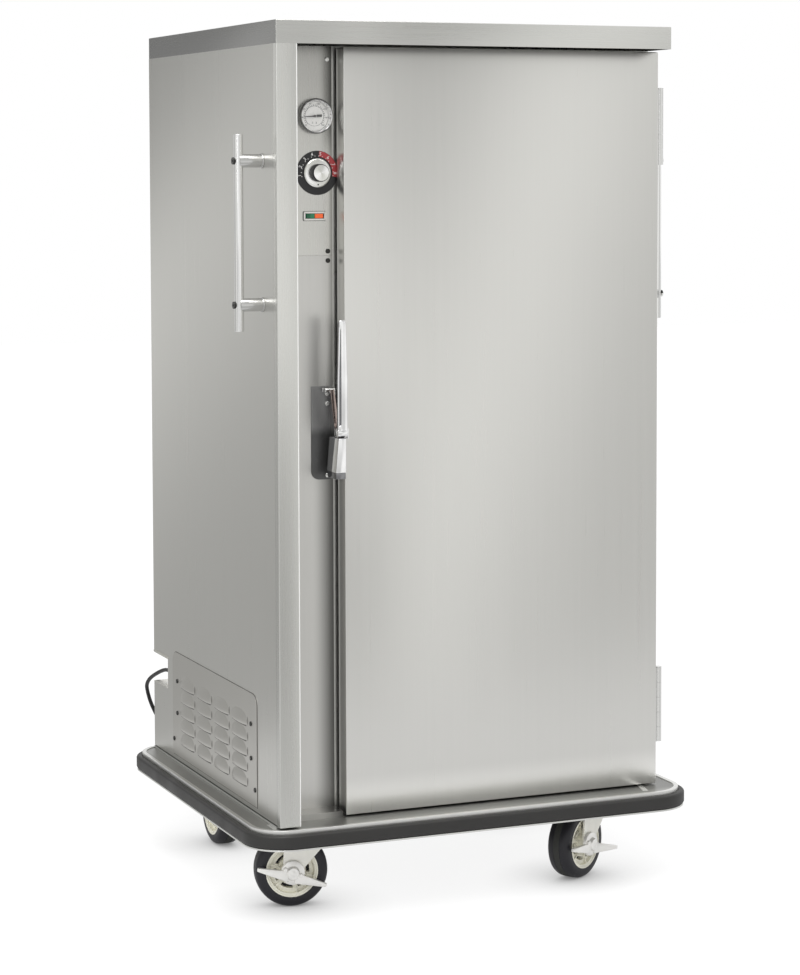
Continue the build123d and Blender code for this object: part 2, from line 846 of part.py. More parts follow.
def thermometer_case():
    """Turned case: rolled bezel in front of the panel and a can behind it."""
    x, z = thermometer_centre()
    front, back = frame_y - thermometer_front, frame_y + thermometer_case_depth
    case = rod((x, front, z), (x, frame_y, z), thermometer_radius)
    rim = case.edges().filter_by(GeomType.CIRCLE).sort_by(Axis.Y)[0]
    case = fillet(rim, 2.0) + rod((x, frame_y, z), (x, back, z), thermometer_case_radius)
    inner = thermometer_case_radius - thermometer_wall
    case -= rod((x, front + thermometer_wall, z), (x, back - thermometer_wall, z), inner)
    case -= rod((x, front - 1, z), (x, front + 2, z), inner - 1)
    case += rod((x, back - 8, z), (x, back, z), 5.0)
    return case - rod((x, back - 9, z), (x, back - thermometer_wall, z), needle_spindle_radius + running_fit)


def thermometer_dial():
    x, z = thermometer_centre()
    radius = thermometer_case_radius - thermometer_wall - small_clearance
    disc = rod((x, frame_y, z), (x, frame_y + dial_thickness, z), radius)
    return disc - rod((x, frame_y - 1, z), (x, frame_y + 2, z), needle_spindle_radius + 0.3)


def thermometer_lens():
    x, z = thermometer_centre()
    radius = thermometer_case_radius - thermometer_wall - small_clearance
    y = frame_y - thermometer_front + thermometer_wall + small_clearance
    return rod((x, y, z), (x, y + lens_thickness, z), radius)


def thermometer_needle():
    """Pointer and counterweight on a spindle, pointing to the left."""
    x, z = thermometer_centre()
    y = (frame_y - 2.4, frame_y - 2.4 + needle_thickness)
    tip = [(-needle_length, 0.3), (-needle_length, -0.3), (0, -1.0), (0, 1.0)]
    needle = prism(tip, upright_plane(x, y[1], z), needle_thickness)
    needle += block((x, x + needle_tail), y, (z - 1.5, z + 1.5))
    needle += rod((x, y[0] - 0.4, z), (x, y[1], z), 2.2)
    back = frame_y + thermometer_case_depth - thermometer_wall - 0.5
    return needle + rod((x, y[0], z), (x, back, z), needle_spindle_radius)


def thermostat_centre():
    return left_x + thermostat_x, deck_z + thermostat_height


def thermostat_body():
    """Thermostat behind the panel, with a bush through it for the knob's shaft."""
    x, z = thermostat_centre()
    half = thermostat_body_size / 2
    y = frame_y + skin
    body = block((x - half, x + half - 4), (y, y + thermostat_body_depth), (z - half, z + half))
    body += rod((x, frame_y - thermostat_dial_thickness, z), (x, y, z), thermostat_bush_radius)
    end = frame_y + knob_shaft_length + 1
    return body - rod((x, frame_y - 5, z), (x, end, z), knob_shaft_radius + running_fit)


def thermostat_dial():
    """Round scale plate on the panel round the knob."""
    x, z = thermostat_centre()
    plate = rod((x, frame_y - thermostat_dial_thickness, z), (x, frame_y, z), thermostat_dial_radius)
    return plate - rod((x, frame_y - 3, z), (x, frame_y + 1, z), thermostat_bush_radius + small_clearance)


def thermostat_knob():
    """Skirted knob with a turned cap, on its shaft."""
    x, z = thermostat_centre()
    y = frame_y - thermostat_dial_thickness - knob_gap
    skirt_end = y - knob_skirt_height
    skirt = rod((x, y, z), (x, skirt_end, z), knob_skirt_radius)
    grip = rod((x, skirt_end, z), (x, skirt_end - knob_grip_height, z), knob_grip_radius)
    rim = grip.edges().filter_by(GeomType.CIRCLE).sort_by(Axis.Y)[0]
    grip = fillet(rim, 2.0)
    pointer = block((x - 1.5, x + 1.5), (skirt_end - 1.5, skirt_end), (z + 3, z + knob_skirt_radius))
    shaft = rod((x, skirt_end, z), (x, frame_y + knob_shaft_length, z), knob_shaft_radius)
    return skirt + grip + pointer + shaft


def lamp_centres():
    x = left_x + indicator_x
    half = (lamp_width + lamp_gap) / 2
    return (x - half, x + half)


def lamp_space(x, grow=0.0):
    z = deck_z + indicator_height
    half_w, half_h = lamp_width / 2 + grow, lamp_height / 2 + grow
    y = (frame_y - bezel_thickness - 1, frame_y + lamp_length)
    return block((x - half_w, x + half_w), y, (z - half_h, z + half_h))


def indicator_bezel():
    x, z = left_x + indicator_x, deck_z + indicator_height
    half_w, half_h = bezel_width / 2, bezel_height / 2
    frame = block((x - half_w, x + half_w), (frame_y - bezel_thickness, frame_y), (z - half_h, z + half_h))
    frame = fillet(frame.edges().filter_by(Axis.Y), 2.0)
    for centre in lamp_centres():
        frame -= lamp_space(centre, small_clearance)
    return frame


def indicator_lamp(x):
    """Neon lamp block with a tinted face just behind the bezel's front."""
    z = deck_z + indicator_height
    half_w, half_h = lamp_width / 2, lamp_height / 2
    y = (frame_y - bezel_thickness + 0.5, frame_y + lamp_length - 1)
    return block((x - half_w, x + half_w), y, (z - half_h, z + half_h))


# Push handles
def handle_setback(side):
    return left_handle_setback if side == "left" else right_handle_setback


def handle_levels():
    middle = deck_z + handle_height
    return (middle - handle_post_spacing / 2, middle + handle_post_spacing / 2)


def handle_thread_holes(side):
    """Clearance holes in the wall for the two bolts of one handle."""
    wall, way = (left_x, -1) if side == "left" else (right_x, 1)
    y = front_y + handle_setback(side)
    holes = [rod((wall - way * (skin + 1), y, z), (wall + way, y, z), handle_screw_radius + small_clearance)
             for z in handle_levels()]
    return holes[0] + holes[1]


def push_handles():
    """Bar on two posts, one handle on each side of the cabinet."""
    shapes = []
    for side, wall, way in (("left", left_x, -1), ("right", right_x, 1)):
        y, x = front_y + handle_setback(side), wall + way * handle_offset
        middle = deck_z + handle_height
        bar = rod((x, y, middle - handle_length / 2), (x, y, middle + handle_length / 2), handle_radius)
        bore = handle_screw_radius + small_clearance
        for z in handle_levels():
            hole = rod((wall - way, y, z), (x + way * (handle_radius + 1), y, z), bore)
            post = rod((wall, y, z), (x, y, z), handle_post_radius)
            clear = rod((x, y, z - 30), (x, y, z + 30), handle_radius + small_clearance)
            shapes.append(post - clear - hole)
            bar -= hole
        shapes.append(bar)
    return shapes


def handle_screws():
    """Long bolts through the bars and the posts into the walls."""
    shapes = []
    for side, wall, way in (("left", left_x, -1), ("right", right_x, 1)):
        y = front_y + handle_setback(side)
        outer = wall + way * (handle_offset + handle_radius)
        for z in handle_levels():
            top = outer + way * handle_head_height
            head = rod((outer - way * 0.8, y, z), (top, y, z), handle_head_radius)
            head -= rod((outer, y, z), (outer + way * (handle_head_height + 1), y, z), 2.0)
            shank = rod((outer + way * 0.5, y, z), (wall - way * skin, y, z), handle_screw_radius)
            shapes.append(head - handle_bar_volume(side) + shank)
    return shapes


def handle_bar_volume(side):
    wall, way = (left_x, -1) if side == "left" else (right_x, 1)
    y, x = front_y + handle_setback(side), wall + way * handle_offset
    middle = deck_z + handle_height
    return rod((x, y, middle - handle_length), (x, y, middle + handle_length), handle_radius + 0.02)


# Hinges
def hinge_knuckles(z0, count, which):
    """Barrel lengths of one leaf: every other knuckle of a hinge."""
    step = hinge_length / count
    spans = []
    for i in range(count):
        if i % 2 == which:
            spans.append((z0 + i * step + knuckle_gap / 2, z0 + (i + 1) * step - knuckle_gap / 2))
    return spans


def hinge_bore(z0):
    radius = pin_radius + running_fit
    return rod((hinge_x, hinge_y, z0 - 1), (hinge_x, hinge_y, z0 + hinge_length + 1), radius)


def hinge_arm_x():
    """Side faces of the frame leaf's arms, which pass outside the door's leaf."""
    inner = right_x + hinge_plate + hinge_play
    return (inner, inner + hinge_arm)


def hinge_frame_leaves():
    """Leaves on the frame's side, with arms forward to their knuckles, and the pins."""
    shapes = []
    plate_y = (frame_y + 2.0, frame_y + 2.0 + frame_leaf_length)
    for height in hinge_heights:
        z0 = deck_z + height - hinge_length / 2
        leaf = block((right_x, hinge_arm_x()[0] + 1.0), plate_y, (z0, z0 + hinge_length))
        for low, high in hinge_knuckles(z0, 5, 0):
            leaf += rod((hinge_x, hinge_y, low), (hinge_x, hinge_y, high), barrel_radius)
            leaf += block(hinge_arm_x(), (hinge_y, plate_y[1]), (low, high))
        top = z0 + hinge_length
        pin = rod((hinge_x, hinge_y, z0), (hinge_x, hinge_y, top), pin_radius)
        pin += rod((hinge_x, hinge_y, top), (hinge_x, hinge_y, top + 2), barrel_radius)
        shapes += [leaf - hinge_bore(z0), pin]
    return shapes


def hinge_door_leaves():
    """Leaves on the door's edge with their knuckles."""
    shapes = []
    plate_y = (door_front_y + 2.0, door_front_y + 2.0 + door_leaf_length)
    for height in hinge_heights:
        z0 = deck_z + height - hinge_length / 2
        leaf = block((right_x, right_x + hinge_plate), plate_y, (z0, z0 + hinge_length))
        for low, high in hinge_knuckles(z0, 5, 1):
            leaf += rod((hinge_x, hinge_y, low), (hinge_x, hinge_y, high), barrel_radius)
            leaf += block((right_x, hinge_x), (hinge_y - 3, hinge_y + 3), (low, high))
        shapes.append(leaf - hinge_bore(z0))
    return shapes


# Door
def door_skin():
    """Folded stainless pan, open at the back."""
    x, y, z = (door_left_x, right_x), (door_front_y, door_rear_y), (door_bottom_z, door_top_z)
    outer = block(x, y, z)
    inner = block((x[0] + skin, x[1] - skin), (y[0] + skin, y[1] + 1), (z[0] + skin, z[1] - skin))
    return outer - inner


def door_plug():
    """Raised middle of the door's inner pan, which enters the cavity's mouth."""
    gap = door_plug_clearance
    x = (cavity_left_x + gap, cavity_right_x - gap)
    z = (cavity_bottom_z + gap, cavity_top_z - gap)
    return x, (door_rear_y - liner, door_rear_y + door_plug_depth), z


def door_liner():
    """Inner pan of the door, screwed inside the skin's folded edges."""
    inset = skin + small_clearance
    x, z = (door_left_x + inset, right_x - inset), (door_bottom_z + inset, door_top_z - inset)
    plate = block(x, (door_rear_y - liner, door_rear_y), z)
    px, py, pz = door_plug()
    plug = block(px, py, pz)
    hollow = block((px[0] + liner, px[1] - liner), (py[0] - 1, py[1] - liner), (pz[0] + liner, pz[1] - liner))
    return plate + plug - hollow


def door_insulation():
    inset = skin + small_clearance
    x, z = (door_left_x + inset, right_x - inset), (door_bottom_z + inset, door_top_z - inset)
    return block(x, (door_front_y + skin, door_rear_y - liner), z)


def door_gasket():
    """Four strips of heat-proof seal between the door and the frame."""
    y = (door_rear_y, frame_y - seal_clearance)
    x = (door_left_x + gasket_inset, right_x - gasket_inset)
    z = (door_bottom_z + gasket_inset, door_top_z - gasket_inset)
    w = gasket_width
    between = (x[0] + w, x[1] - w)
    sides = [block((x[0], x[0] + w), y, z), block((x[1] - w, x[1]), y, z)]
    return sides + [block(between, y, (z[0], z[0] + w)), block(between, y, (z[1] - w, z[1]))]


# Latch
def latch_pivot():
    """Axis of the lever, along X."""
    return front_y + lever_front_setback + latch_knuckle_radius, deck_z + latch_height


def latch_x():
    """Side faces of the lever, left of the door's edge."""
    return (door_left_x - lever_edge_gap - lever_width, door_left_x - lever_edge_gap)


def latch_lever():
    """Chromed pull lever, narrower at its rounded tip, on a knuckle at its foot."""
    y, z = latch_pivot()
    x0, x1 = latch_x()
    middle = (x0 + x1) / 2
    top = z + lever_length
    half_tip = lever_tip_width / 2
    waist = z + lever_length * 0.45
    outline = [(x0, z), (x1, z), (x1, waist), (middle + half_tip, top), (middle - half_tip, top), (x0, waist)]
    front = y - latch_knuckle_radius
    bar = prism(outline, upright_plane(y=front + lever_thickness), lever_thickness)
    tips = bar.edges().filter_by(Axis.Y).group_by(Axis.Z)[-1]
    bar = fillet(tips, half_tip * 0.8)
    knuckle = rod((x0, y, z), (x1, y, z), latch_knuckle_radius)
    bore = rod((x0 - 1, y, z), (x1 + 1, y, z), latch_pivot_radius + running_fit)
    return bar + knuckle - bore


def latch_body():
    """Latch case on the door's edge, with the lever's pin and the spring strap."""
    y, z = latch_pivot()
    x0, x1 = latch_x()
    top = z - latch_knuckle_radius - 1.0
    front = y - latch_knuckle_radius
    case_x = (door_left_x - latch_flange - latch_body_width, door_left_x - latch_flange)
    case = block(case_x, (front, front + latch_body_depth), (top - latch_body_height, top))
    case = fillet(case.edges().filter_by(Axis.X).group_by(Axis.Y)[0], 3.0)
    flange_z = (top - latch_body_height - 12.0, z + latch_strap_height)
    flange = block((door_left_x - latch_flange, door_left_x), (door_front_y + 2, door_rear_y - 2), flange_z)
    cheek_y = (y - 4.0, front + latch_body_depth)
    cheek_x = (x1 + 0.5, door_left_x - latch_flange)
    cheek = block(cheek_x, cheek_y, (top - 2, z + latch_knuckle_radius))
    pin = rod((x0, y, z), (door_left_x - latch_flange, y, z), latch_pivot_radius)
    strap_x = (x0 + 3.0, x1)
    strap_y = front + latch_body_depth
    strap = block(strap_x, (strap_y - 12.0, strap_y - 10.0), (top - 2, z + latch_strap_height))
    bridge_x = (x1 - 1, door_left_x - latch_flange)
    bridge = block(bridge_x, (strap_y - 12.0, strap_y - 10.0), (top - 2, z + 40.0))
    return case + flange + cheek + pin + strap + bridge


def latch_strike():
    """Strike plate in the recess, with a rounded foot and a standing edge."""
    x = (strike_right_x() - strike_width, strike_right_x())
    top = strike_top_z()
    y = (frame_y - strike_thickness, frame_y)
    plate = block(x, y, (top - strike_height, top))
    foot = plate.edges().filter_by(Axis.Y).filter_by(
        lambda e: abs(e.center().X - x[0]) < 0.01 and e.center().Z < top - strike_height / 2)
    plate = fillet(foot, strike_corner)
    fin = block((x[1] - strike_thickness, x[1]), (frame_y - strike_fin_depth, frame_y),
                (top - strike_height + 12, top - 4))
    plate = plate + fin
    for point in strike_screw_points():
        plate -= screw_hole(*point, (0, -1, 0))
    return plate


# Casters. Each is built at the origin with its wheel towards -X and its outer face towards -Y.
def caster_spot(name):
    x, y = caster_places()[name]
    turn = {"front_left": left_caster_turn, "front_right": right_caster_turn,
            "rear_left": -90.0, "rear_right": 90.0}
    return Pos(x, y, 0) * Rot(0, 0, turn[name])


def caster_plates():
    """Front swivel plates with their races and king pins."""
    shapes = []
    top, bottom = caster_height, caster_height - plate_thickness
    race_bottom = bottom - race_height
    for name in ("front_left", "front_right"):
        x, y = caster_places()[name]
        half_x, half_y = plate_width / 2, plate_length / 2
        plate = block((x - half_x, x + half_x), (y - half_y, y + half_y), (bottom, top))
        race = rod((x, y, race_bottom), (x, y, bottom), race_radius)
        race = fillet(race.edges().filter_by(GeomType.CIRCLE).sort_by(Axis.Z)[0], 3.0)
        pin = rod((x, y, fork_crown_bottom() + 0.5), (x, y, bottom), king_pin_radius)
        shapes.append(plate + race + pin)
    return shapes


def fork_crown_bottom():
    return wheel_diameter + fork_crown_gap


def fork_crown_top():
    return caster_height - plate_thickness - race_height - race_gap


def fork_legs(trail, crown_top):
    """Two pressed legs from the crown to the axle."""
    inner = wheel_width / 2 + fork_side_gap
    reach = fork_crown_radius * 0.9
    lead = max(reach, trail + fork_lead)
    shoulder = fork_crown_bottom()
    legs = None
    for side in (-1, 1):
        outline = [(-lead, shoulder + fork_thickness), (reach, shoulder + fork_thickness),
                   (reach * 0.8 - trail * 0.2, shoulder - 18.0), (fork_eye_radius - trail, axle_z),
                   (-fork_eye_radius - trail, axle_z), (-lead, shoulder - 20.0)]
        near = -inner if side < 0 else inner + fork_thickness
        leg = prism(outline, upright_plane(y=near), fork_thickness)
        eye = rod((-trail, near, axle_z), (-trail, near - fork_thickness, axle_z), fork_eye_radius)
        legs = leg + eye if legs is None else legs + leg + eye
    half = inner + fork_thickness
    crown = block((-lead, reach), (-half, half), (shoulder, shoulder + fork_thickness))
    neck = rod((0, 0, shoulder), (0, 0, crown_top), fork_crown_radius)
    hole = rod((-trail, -half - 1, axle_z), (-trail, half + 1, axle_z), axle_radius + running_fit)
    return legs + crown + neck - hole


def axle(trail, outer_end):
    """Axle bolt with a head on the inner side and a nut or pedal on the outer side."""
    half = wheel_width / 2 + fork_side_gap + fork_thickness
    bolt = rod((-trail, -outer_end, axle_z), (-trail, half, axle_z), axle_radius)
    return bolt + rod((-trail, half, axle_z), (-trail, half + axle_head_height, axle_z), axle_head_radius)


def front_fork(name):
    """Swivel fork with its axle bolt, which also carries the brake pedal."""
    legs = fork_legs(caster_trail, fork_crown_top())
    bore = rod((0, 0, fork_crown_bottom() - 1), (0, 0, fork_crown_top() + 1), king_pin_radius + running_fit)
    half = wheel_width / 2 + fork_side_gap + fork_thickness
    bolt = axle(caster_trail, half + pedal_gap + pedal_hub_length - 2.0)
    spot = caster_spot(name)
    return [spot * (legs - bore), spot * bolt]


def rear_forks():
    """Rigid forks welded to their plates, with axle bolts."""
    shapes = []
    for name in ("rear_left", "rear_right"):
        bottom = caster_height - plate_thickness
        plate = block((-plate_length / 2, plate_length / 2), (-plate_width / 2, plate_width / 2),
                      (bottom, caster_height))
        half = wheel_width / 2 + fork_side_gap + fork_thickness
        nut = rod((0, -half - axle_head_height, axle_z), (0, -half, axle_z), axle_head_radius)
        spot = caster_spot(name)
        shapes += [spot * (fork_legs(0.0, bottom) + plate), spot * (axle(0.0, half) + nut)]
    return shapes


def wheel_trail(name):
    return caster_trail if name.startswith("front") else 0.0


def tyre(name):
    """Rubber tyre with rounded shoulders."""
    half, x = wheel_width / 2, -wheel_trail(name)
    ring = rod((x, -half, axle_z), (x, half, axle_z), wheel_diameter / 2)
    ring = fillet(ring.edges().filter_by(GeomType.CIRCLE), tyre_rounding)
    return caster_spot(name) * (ring - rod((x, -half - 1, axle_z), (x, half + 1, axle_z), rim_radius))


def rim(name):
    """Moulded rim: outer ring, thick web with curved slots, and hub."""
    half, x = wheel_width / 2, -wheel_trail(name)
    radius = rim_radius - rim_fit
    ring = rod((x, -half, axle_z), (x, half, axle_z), radius)
    ring -= rod((x, -half - 1, axle_z), (x, half + 1, axle_z), radius - rim_lip)
    web = rod((x, -rim_web / 2, axle_z), (x, rim_web / 2, axle_z), radius - rim_lip / 2)
    face = upright_plane(x, rim_web / 2 + 1, axle_z)
    for i in range(rim_slot_count):
        arc = CenterArc((0, 0), rim_slot_circle, 360 * i / rim_slot_count, rim_slot_angle)
        web -= extrude(face * SlotArc(arc, rim_slot_width), rim_web + 2, dir=face.z_dir)
    reach = half + fork_side_gap - hub_clearance
    hub = rod((x, -reach, axle_z), (x, reach, axle_z), hub_radius)
    bore = rod((x, -reach - 1, axle_z), (x, reach + 1, axle_z), axle_radius + running_fit)
    return caster_spot(name) * (ring + web + hub - bore)


def brake_pedal(name):
    """Two-winged foot pedal that rocks on the end of the axle."""
    x = -caster_trail
    inner = wheel_width / 2 + fork_side_gap + fork_thickness + pedal_gap
    outer = inner + pedal_hub_length
    hub = rod((x, -inner, axle_z), (x, -outer, axle_z), pedal_hub_radius)
    hub = fillet(hub.edges().filter_by(GeomType.CIRCLE).sort_by(Axis.Y)[0], 4.0)
    half, root, tip = pedal_span / 2, pedal_root_height / 2, pedal_tip_height / 2
    outline = [(-half, -tip), (0, -root), (half, -tip), (half, tip), (0, root), (-half, tip)]
    wings = prism(outline, upright_plane(y=-inner - 1.5, z=-pedal_drop), pedal_thickness)
    wings = Pos(x, 0, axle_z) * Rot(0, pedal_tilt, 0) * wings
    bore = rod((x, -inner + 1, axle_z), (x, -outer + 1.0, axle_z), axle_radius + running_fit)
    return caster_spot(name) * (hub + wings - bore)


# Cord
def gland_face():
    """Where the cord leaves the strain relief."""
    y = rear_y - cord_recess_depth + gland_flange + gland_length
    return (left_x + gland_x, y, deck_z + gland_height)


def cord_gland():
    """Tapered strain relief on the recess's front wall."""
    x, end, z = gland_face()
    wall = rear_y - cord_recess_depth
    flange = rod((x, wall, z), (x, wall + gland_flange, z), gland_flange_radius)
    root = Plane(origin=(x, wall + gland_flange, z), z_dir=(0, 1, 0)) * Circle(gland_root_radius)
    tip = Plane(origin=(x, end, z), z_dir=(0, 1, 0)) * Circle(gland_tip_radius)
    neck = rod((x, wall - skin, z), (x, wall, z), gland_tip_radius - small_clearance)
    return flange + loft([root, tip]) + neck


def coil_start():
    return (coil_centre[0] - cord_diameter, coil_centre[1] - coil_outer_radius, cord_diameter / 2)


def cord_route():
    """Points of the free cord, from the strain relief to the coil on the floor."""
    x, y, z = gland_face()
    return [(x, y, z), (x, y + 36.0, z), (-350.0, 356.0, 310.0), (-359.5, 401.0, 289.5),
            (-362.0, 419.0, 274.5), (-360.0, 427.5, 261.5), (-348.0, 438.0, 227.0), (-324.5, 439.5, 182.0),
            (-297.0, 431.0, 138.5), (-262.0, 414.0, 90.0), (-236.0, 412.0, 48.0), (-212.0, 414.0, 16.0),
            (-178.0, 411.0, 3.75), (-136.0, 403.0, 3.75), coil_start()]


def bend_radii(points):
    """Arc radius at each corner: 0.45 of the shorter run over the tangent of half the turn."""
    radii = []
    for a, b, c in zip(points, points[1:], points[2:]):
        before, after = Vector(*b) - Vector(*a), Vector(*c) - Vector(*b)
        half_turn = math.radians(before.get_angle(after)) / 2
        radii.append(0.45 * min(before.length, after.length) / math.tan(half_turn))
    return radii


def cord():
    """Free cord as one tube of straight runs and tangent arcs."""
    points = cord_route()
    radii = bend_radii(points)
    path = FilletPolyline(*points, radius=radii)
    start = Plane(origin=points[0], z_dir=path % 0)
    solid = sweep(start * Circle(cord_diameter / 2), path=path)
    section = math.pi * cord_diameter ** 2 / 4
    filled = round(solid.volume / section / path.length, 4)
    print("cord length", round(path.length, 1), "volume / section x length", filled)
    print("cord bend radii", [round(r, 1) for r in radii])
    return solid


def coil_half_turns():
    """Half circles of the coil: end points on its middle line, radius, side and height."""
    step = cord_diameter + coil_gap
    low, high = cord_diameter / 2, cord_diameter / 2 + step
    turns = []
    place, side, radius = -coil_outer_radius, 1, coil_outer_radius
    for _ in range(coil_turns_in):
        turns.append((place, place + side * 2 * radius, side, low, low))
        place, side, radius = place + side * 2 * radius, -side, radius - step / 2
    turns.append((place, place + side * 2 * radius, side, low, high))
    place, side, radius = place + side * 2 * radius, -side, radius + step / 2
    for _ in range(coil_turns_in - 1):
        turns.append((place, place + side * 2 * radius, side, high, high))
        place, side, radius = place + side * 2 * radius, -side, radius + step / 2
    turns.append((place, place + side * 2 * coil_tail_radius, side, high, high))
    return turns


def coil_edges():
    """Start run, half turns and end run of the coil's middle line."""
    cx, cy = coil_centre
    turns = coil_half_turns()
    run = cord_diameter
    edges = [Line((cx - run, cy + turns[0][0], turns[0][3]), (cx, cy + turns[0][0], turns[0][3]))]
    for y0, y1, side, z0, z1 in turns:
        radius = abs(y1 - y0) / 2
        bulge = radius * side
        middle = (cx + bulge, cy + (y0 + y1) / 2, (z0 + z1) / 2)
        edges.append(ThreePointArc((cx, cy + y0, z0), middle, (cx, cy + y1, z1)))
    y, z = turns[-1][1], turns[-1][4]
    edges.append(Line((cx, cy + y, z), (cx - run, cy + y, z)))
    return edges


def coil_least_gap(edges):
    """Least gap between turns, measured on points along the middle line."""
    spots, run, total = [], [], 0.0
    for edge in edges:
        count = max(4, int(edge.length / 4))
        for i in range(count):
            spots.append(edge @ (i / count))
            run.append(total + edge.length * i / count)
        total += edge.length
    apart = [(a - b).length for i, a in enumerate(spots) for j, b in enumerate(spots[:i])
             if run[i] - run[j] > 4 * cord_diameter]
    return min(apart) - cord_diameter, total


def cord_coil():
    """Spare cord wound in two layers on the floor behind the cabinet."""
    edges = coil_edges()
    gap, total = coil_least_gap(edges)
    start = edges[0] @ 0
    profile = Plane(origin=start, z_dir=(1, 0, 0)) * Circle(cord_diameter / 2)
    solid = sweep(profile, path=Wire(edges))
    section = math.pi * cord_diameter ** 2 / 4
    print("coil length", round(total, 1), "least gap", round(gap, 2), "volume / section x length",
          round(solid.volume / section / total, 4))
    return solid


def plug():
    """Moulded plug with a boot and three pins, lying on the floor beside the coil."""
    end = coil_edges()[-1] @ 1
    x, y, z = end.X - small_clearance, end.Y, end.Z
    body_x = (x - plug_boot_length - plug_length, x - plug_boot_length)
    half_w = plug_width / 2
    body = block(body_x, (y - half_w, y + half_w), (0.0, 2 * z))
    body = fillet(body.edges().filter_by(Axis.X), plug_rounding)
    boot = rod((x, y, z), (body_x[1], y, z), plug_boot_radius)
    tip = body_x[0]
    pins = rod((tip, y, z + 5.0), (tip - ground_pin_length, y, z + 5.0), ground_pin_radius)
    for side in (-1, 1):
        centre = y + side * blade_spacing / 2
        pins += block((tip - blade_length, tip), (centre - blade_thickness / 2, centre + blade_thickness / 2),
                      (z - 3.0 - blade_height / 2, z - 3.0 + blade_height / 2))
    return body + boot + pins


def screws():
    """All the small screws: louvered panel, control plates, strike and cord recess."""
    shapes = [screw(*p, (-1, 0, 0)) for p in louver_screw_points()]
    front_points = control_screw_points() + recess_screw_points() + strike_screw_points()
    shapes += [screw(*p, (0, -1, 0)) for p in front_points]
    shapes.append(screw(*ledge_screw_point(), (0, 0, 1)))
    return shapes + handle_screws()


def model():
    """Every node of the cabinet by name."""
    nodes = {
        "base_deck": base_deck(), "bumper": bumper(), "bumper_trim": bumper_trim(),
        "left_side_panel": left_side_panel(), "right_side_panel": right_side_panel(),
        "rear_panel": rear_panel(), "rear_service_box": rear_service_box(),
        "top_cap": top_cap(), "front_left_post": front_left_post(),
        "control_panel": control_panel(), "recess_panel": recess_panel(), "door_frame": door_frame(),
        "cavity_liner": cavity_liner(), "insulation": insulation(), "shelf_uprights": shelf_uprights(),
        "shelves": [shelf(level) for level in shelf_levels()],
        "blower_housing": blower_housing(), "blower_motor": blower_motor(), "blower_wheel": blower_wheel(),
        "heater_element": heater_element(), "louver_panel": louver_panel(),
        "thermometer_case": thermometer_case(), "thermometer_dial": thermometer_dial(),
        "thermometer_lens": thermometer_lens(), "thermometer_needle": thermometer_needle(),
        "thermostat_body": thermostat_body(), "thermostat_dial": thermostat_dial(),
        "thermostat_knob": thermostat_knob(), "indicator_bezel": indicator_bezel(),
        "lamp_green": indicator_lamp(lamp_centres()[0]), "lamp_red": indicator_lamp(lamp_centres()[1]),
        "push_handles": push_handles(), "screws": screws(),
        "hinge_frame_leaves": hinge_frame_leaves(), "hinge_door_leaves": hinge_door_leaves(),
        "door_skin": door_skin(), "door_liner": door_liner(), "door_insulation": door_insulation(),
        "door_gasket": door_gasket(), "latch_body": latch_body(), "latch_lever": latch_lever(),
        "latch_strike": latch_strike(), "caster_plates": caster_plates(), "rear_forks": rear_forks(),
        "cord_gland": cord_gland(), "cord": cord(), "cord_coil": cord_coil(), "plug": plug(),
    }
    for name in caster_places():
        nodes[name + "_tyre"] = tyre(name)
        nodes[name + "_rim"] = rim(name)
    for name in ("front_left", "front_right"):
        nodes[name + "_fork"] = front_fork(name)
        nodes[name + "_brake_pedal"] = brake_pedal(name)
    return nodes


os.makedirs("parts", exist_ok=True)
for node, shapes in model().items():
    save(node, shapes)
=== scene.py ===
import json
import math
import bmesh
import bpy
from mathutils import Matrix, Vector


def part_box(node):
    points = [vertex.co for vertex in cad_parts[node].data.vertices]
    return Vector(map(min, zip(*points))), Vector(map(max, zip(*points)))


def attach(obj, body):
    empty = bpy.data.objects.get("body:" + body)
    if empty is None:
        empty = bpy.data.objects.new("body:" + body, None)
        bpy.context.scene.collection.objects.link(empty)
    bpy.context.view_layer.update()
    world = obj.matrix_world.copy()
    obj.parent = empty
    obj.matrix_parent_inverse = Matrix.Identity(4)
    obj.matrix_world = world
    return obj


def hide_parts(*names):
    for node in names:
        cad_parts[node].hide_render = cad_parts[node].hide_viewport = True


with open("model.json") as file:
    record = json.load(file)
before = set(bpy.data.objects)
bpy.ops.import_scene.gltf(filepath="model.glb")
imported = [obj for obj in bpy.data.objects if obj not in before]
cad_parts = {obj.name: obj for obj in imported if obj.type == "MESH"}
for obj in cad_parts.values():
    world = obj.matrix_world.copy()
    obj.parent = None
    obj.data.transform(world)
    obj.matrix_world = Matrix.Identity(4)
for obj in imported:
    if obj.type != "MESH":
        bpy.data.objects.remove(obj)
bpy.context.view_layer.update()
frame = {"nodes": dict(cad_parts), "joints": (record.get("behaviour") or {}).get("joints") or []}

nodes = frame["nodes"]
scene = bpy.context.scene

# Camera. It stands to the left of the cabinet at the height of a seated person's eyes,
# with a long lens. The picture's window is moved down a little, so that the verticals
# stay almost upright.
camera_place = (-1.86615, -4.46020, 1.27615)
camera_yaw, camera_pitch, camera_roll = 22.6797, 3.6551, -0.1617
camera = bpy.data.objects.new("camera", bpy.data.cameras.new("camera"))
scene.collection.objects.link(camera)
camera.data.sensor_width = 36.0
camera.data.lens = 97.60
camera.data.shift_y = -0.1571
camera.data.clip_end = 60.0
aim = Matrix.Rotation(math.radians(-camera_yaw), 4, "Z")
aim @= Matrix.Rotation(math.radians(90.0 - camera_pitch), 4, "X")
aim @= Matrix.Rotation(math.radians(camera_roll), 4, "Z")
camera.matrix_world = Matrix.Translation(camera_place) @ aim
scene.camera = camera


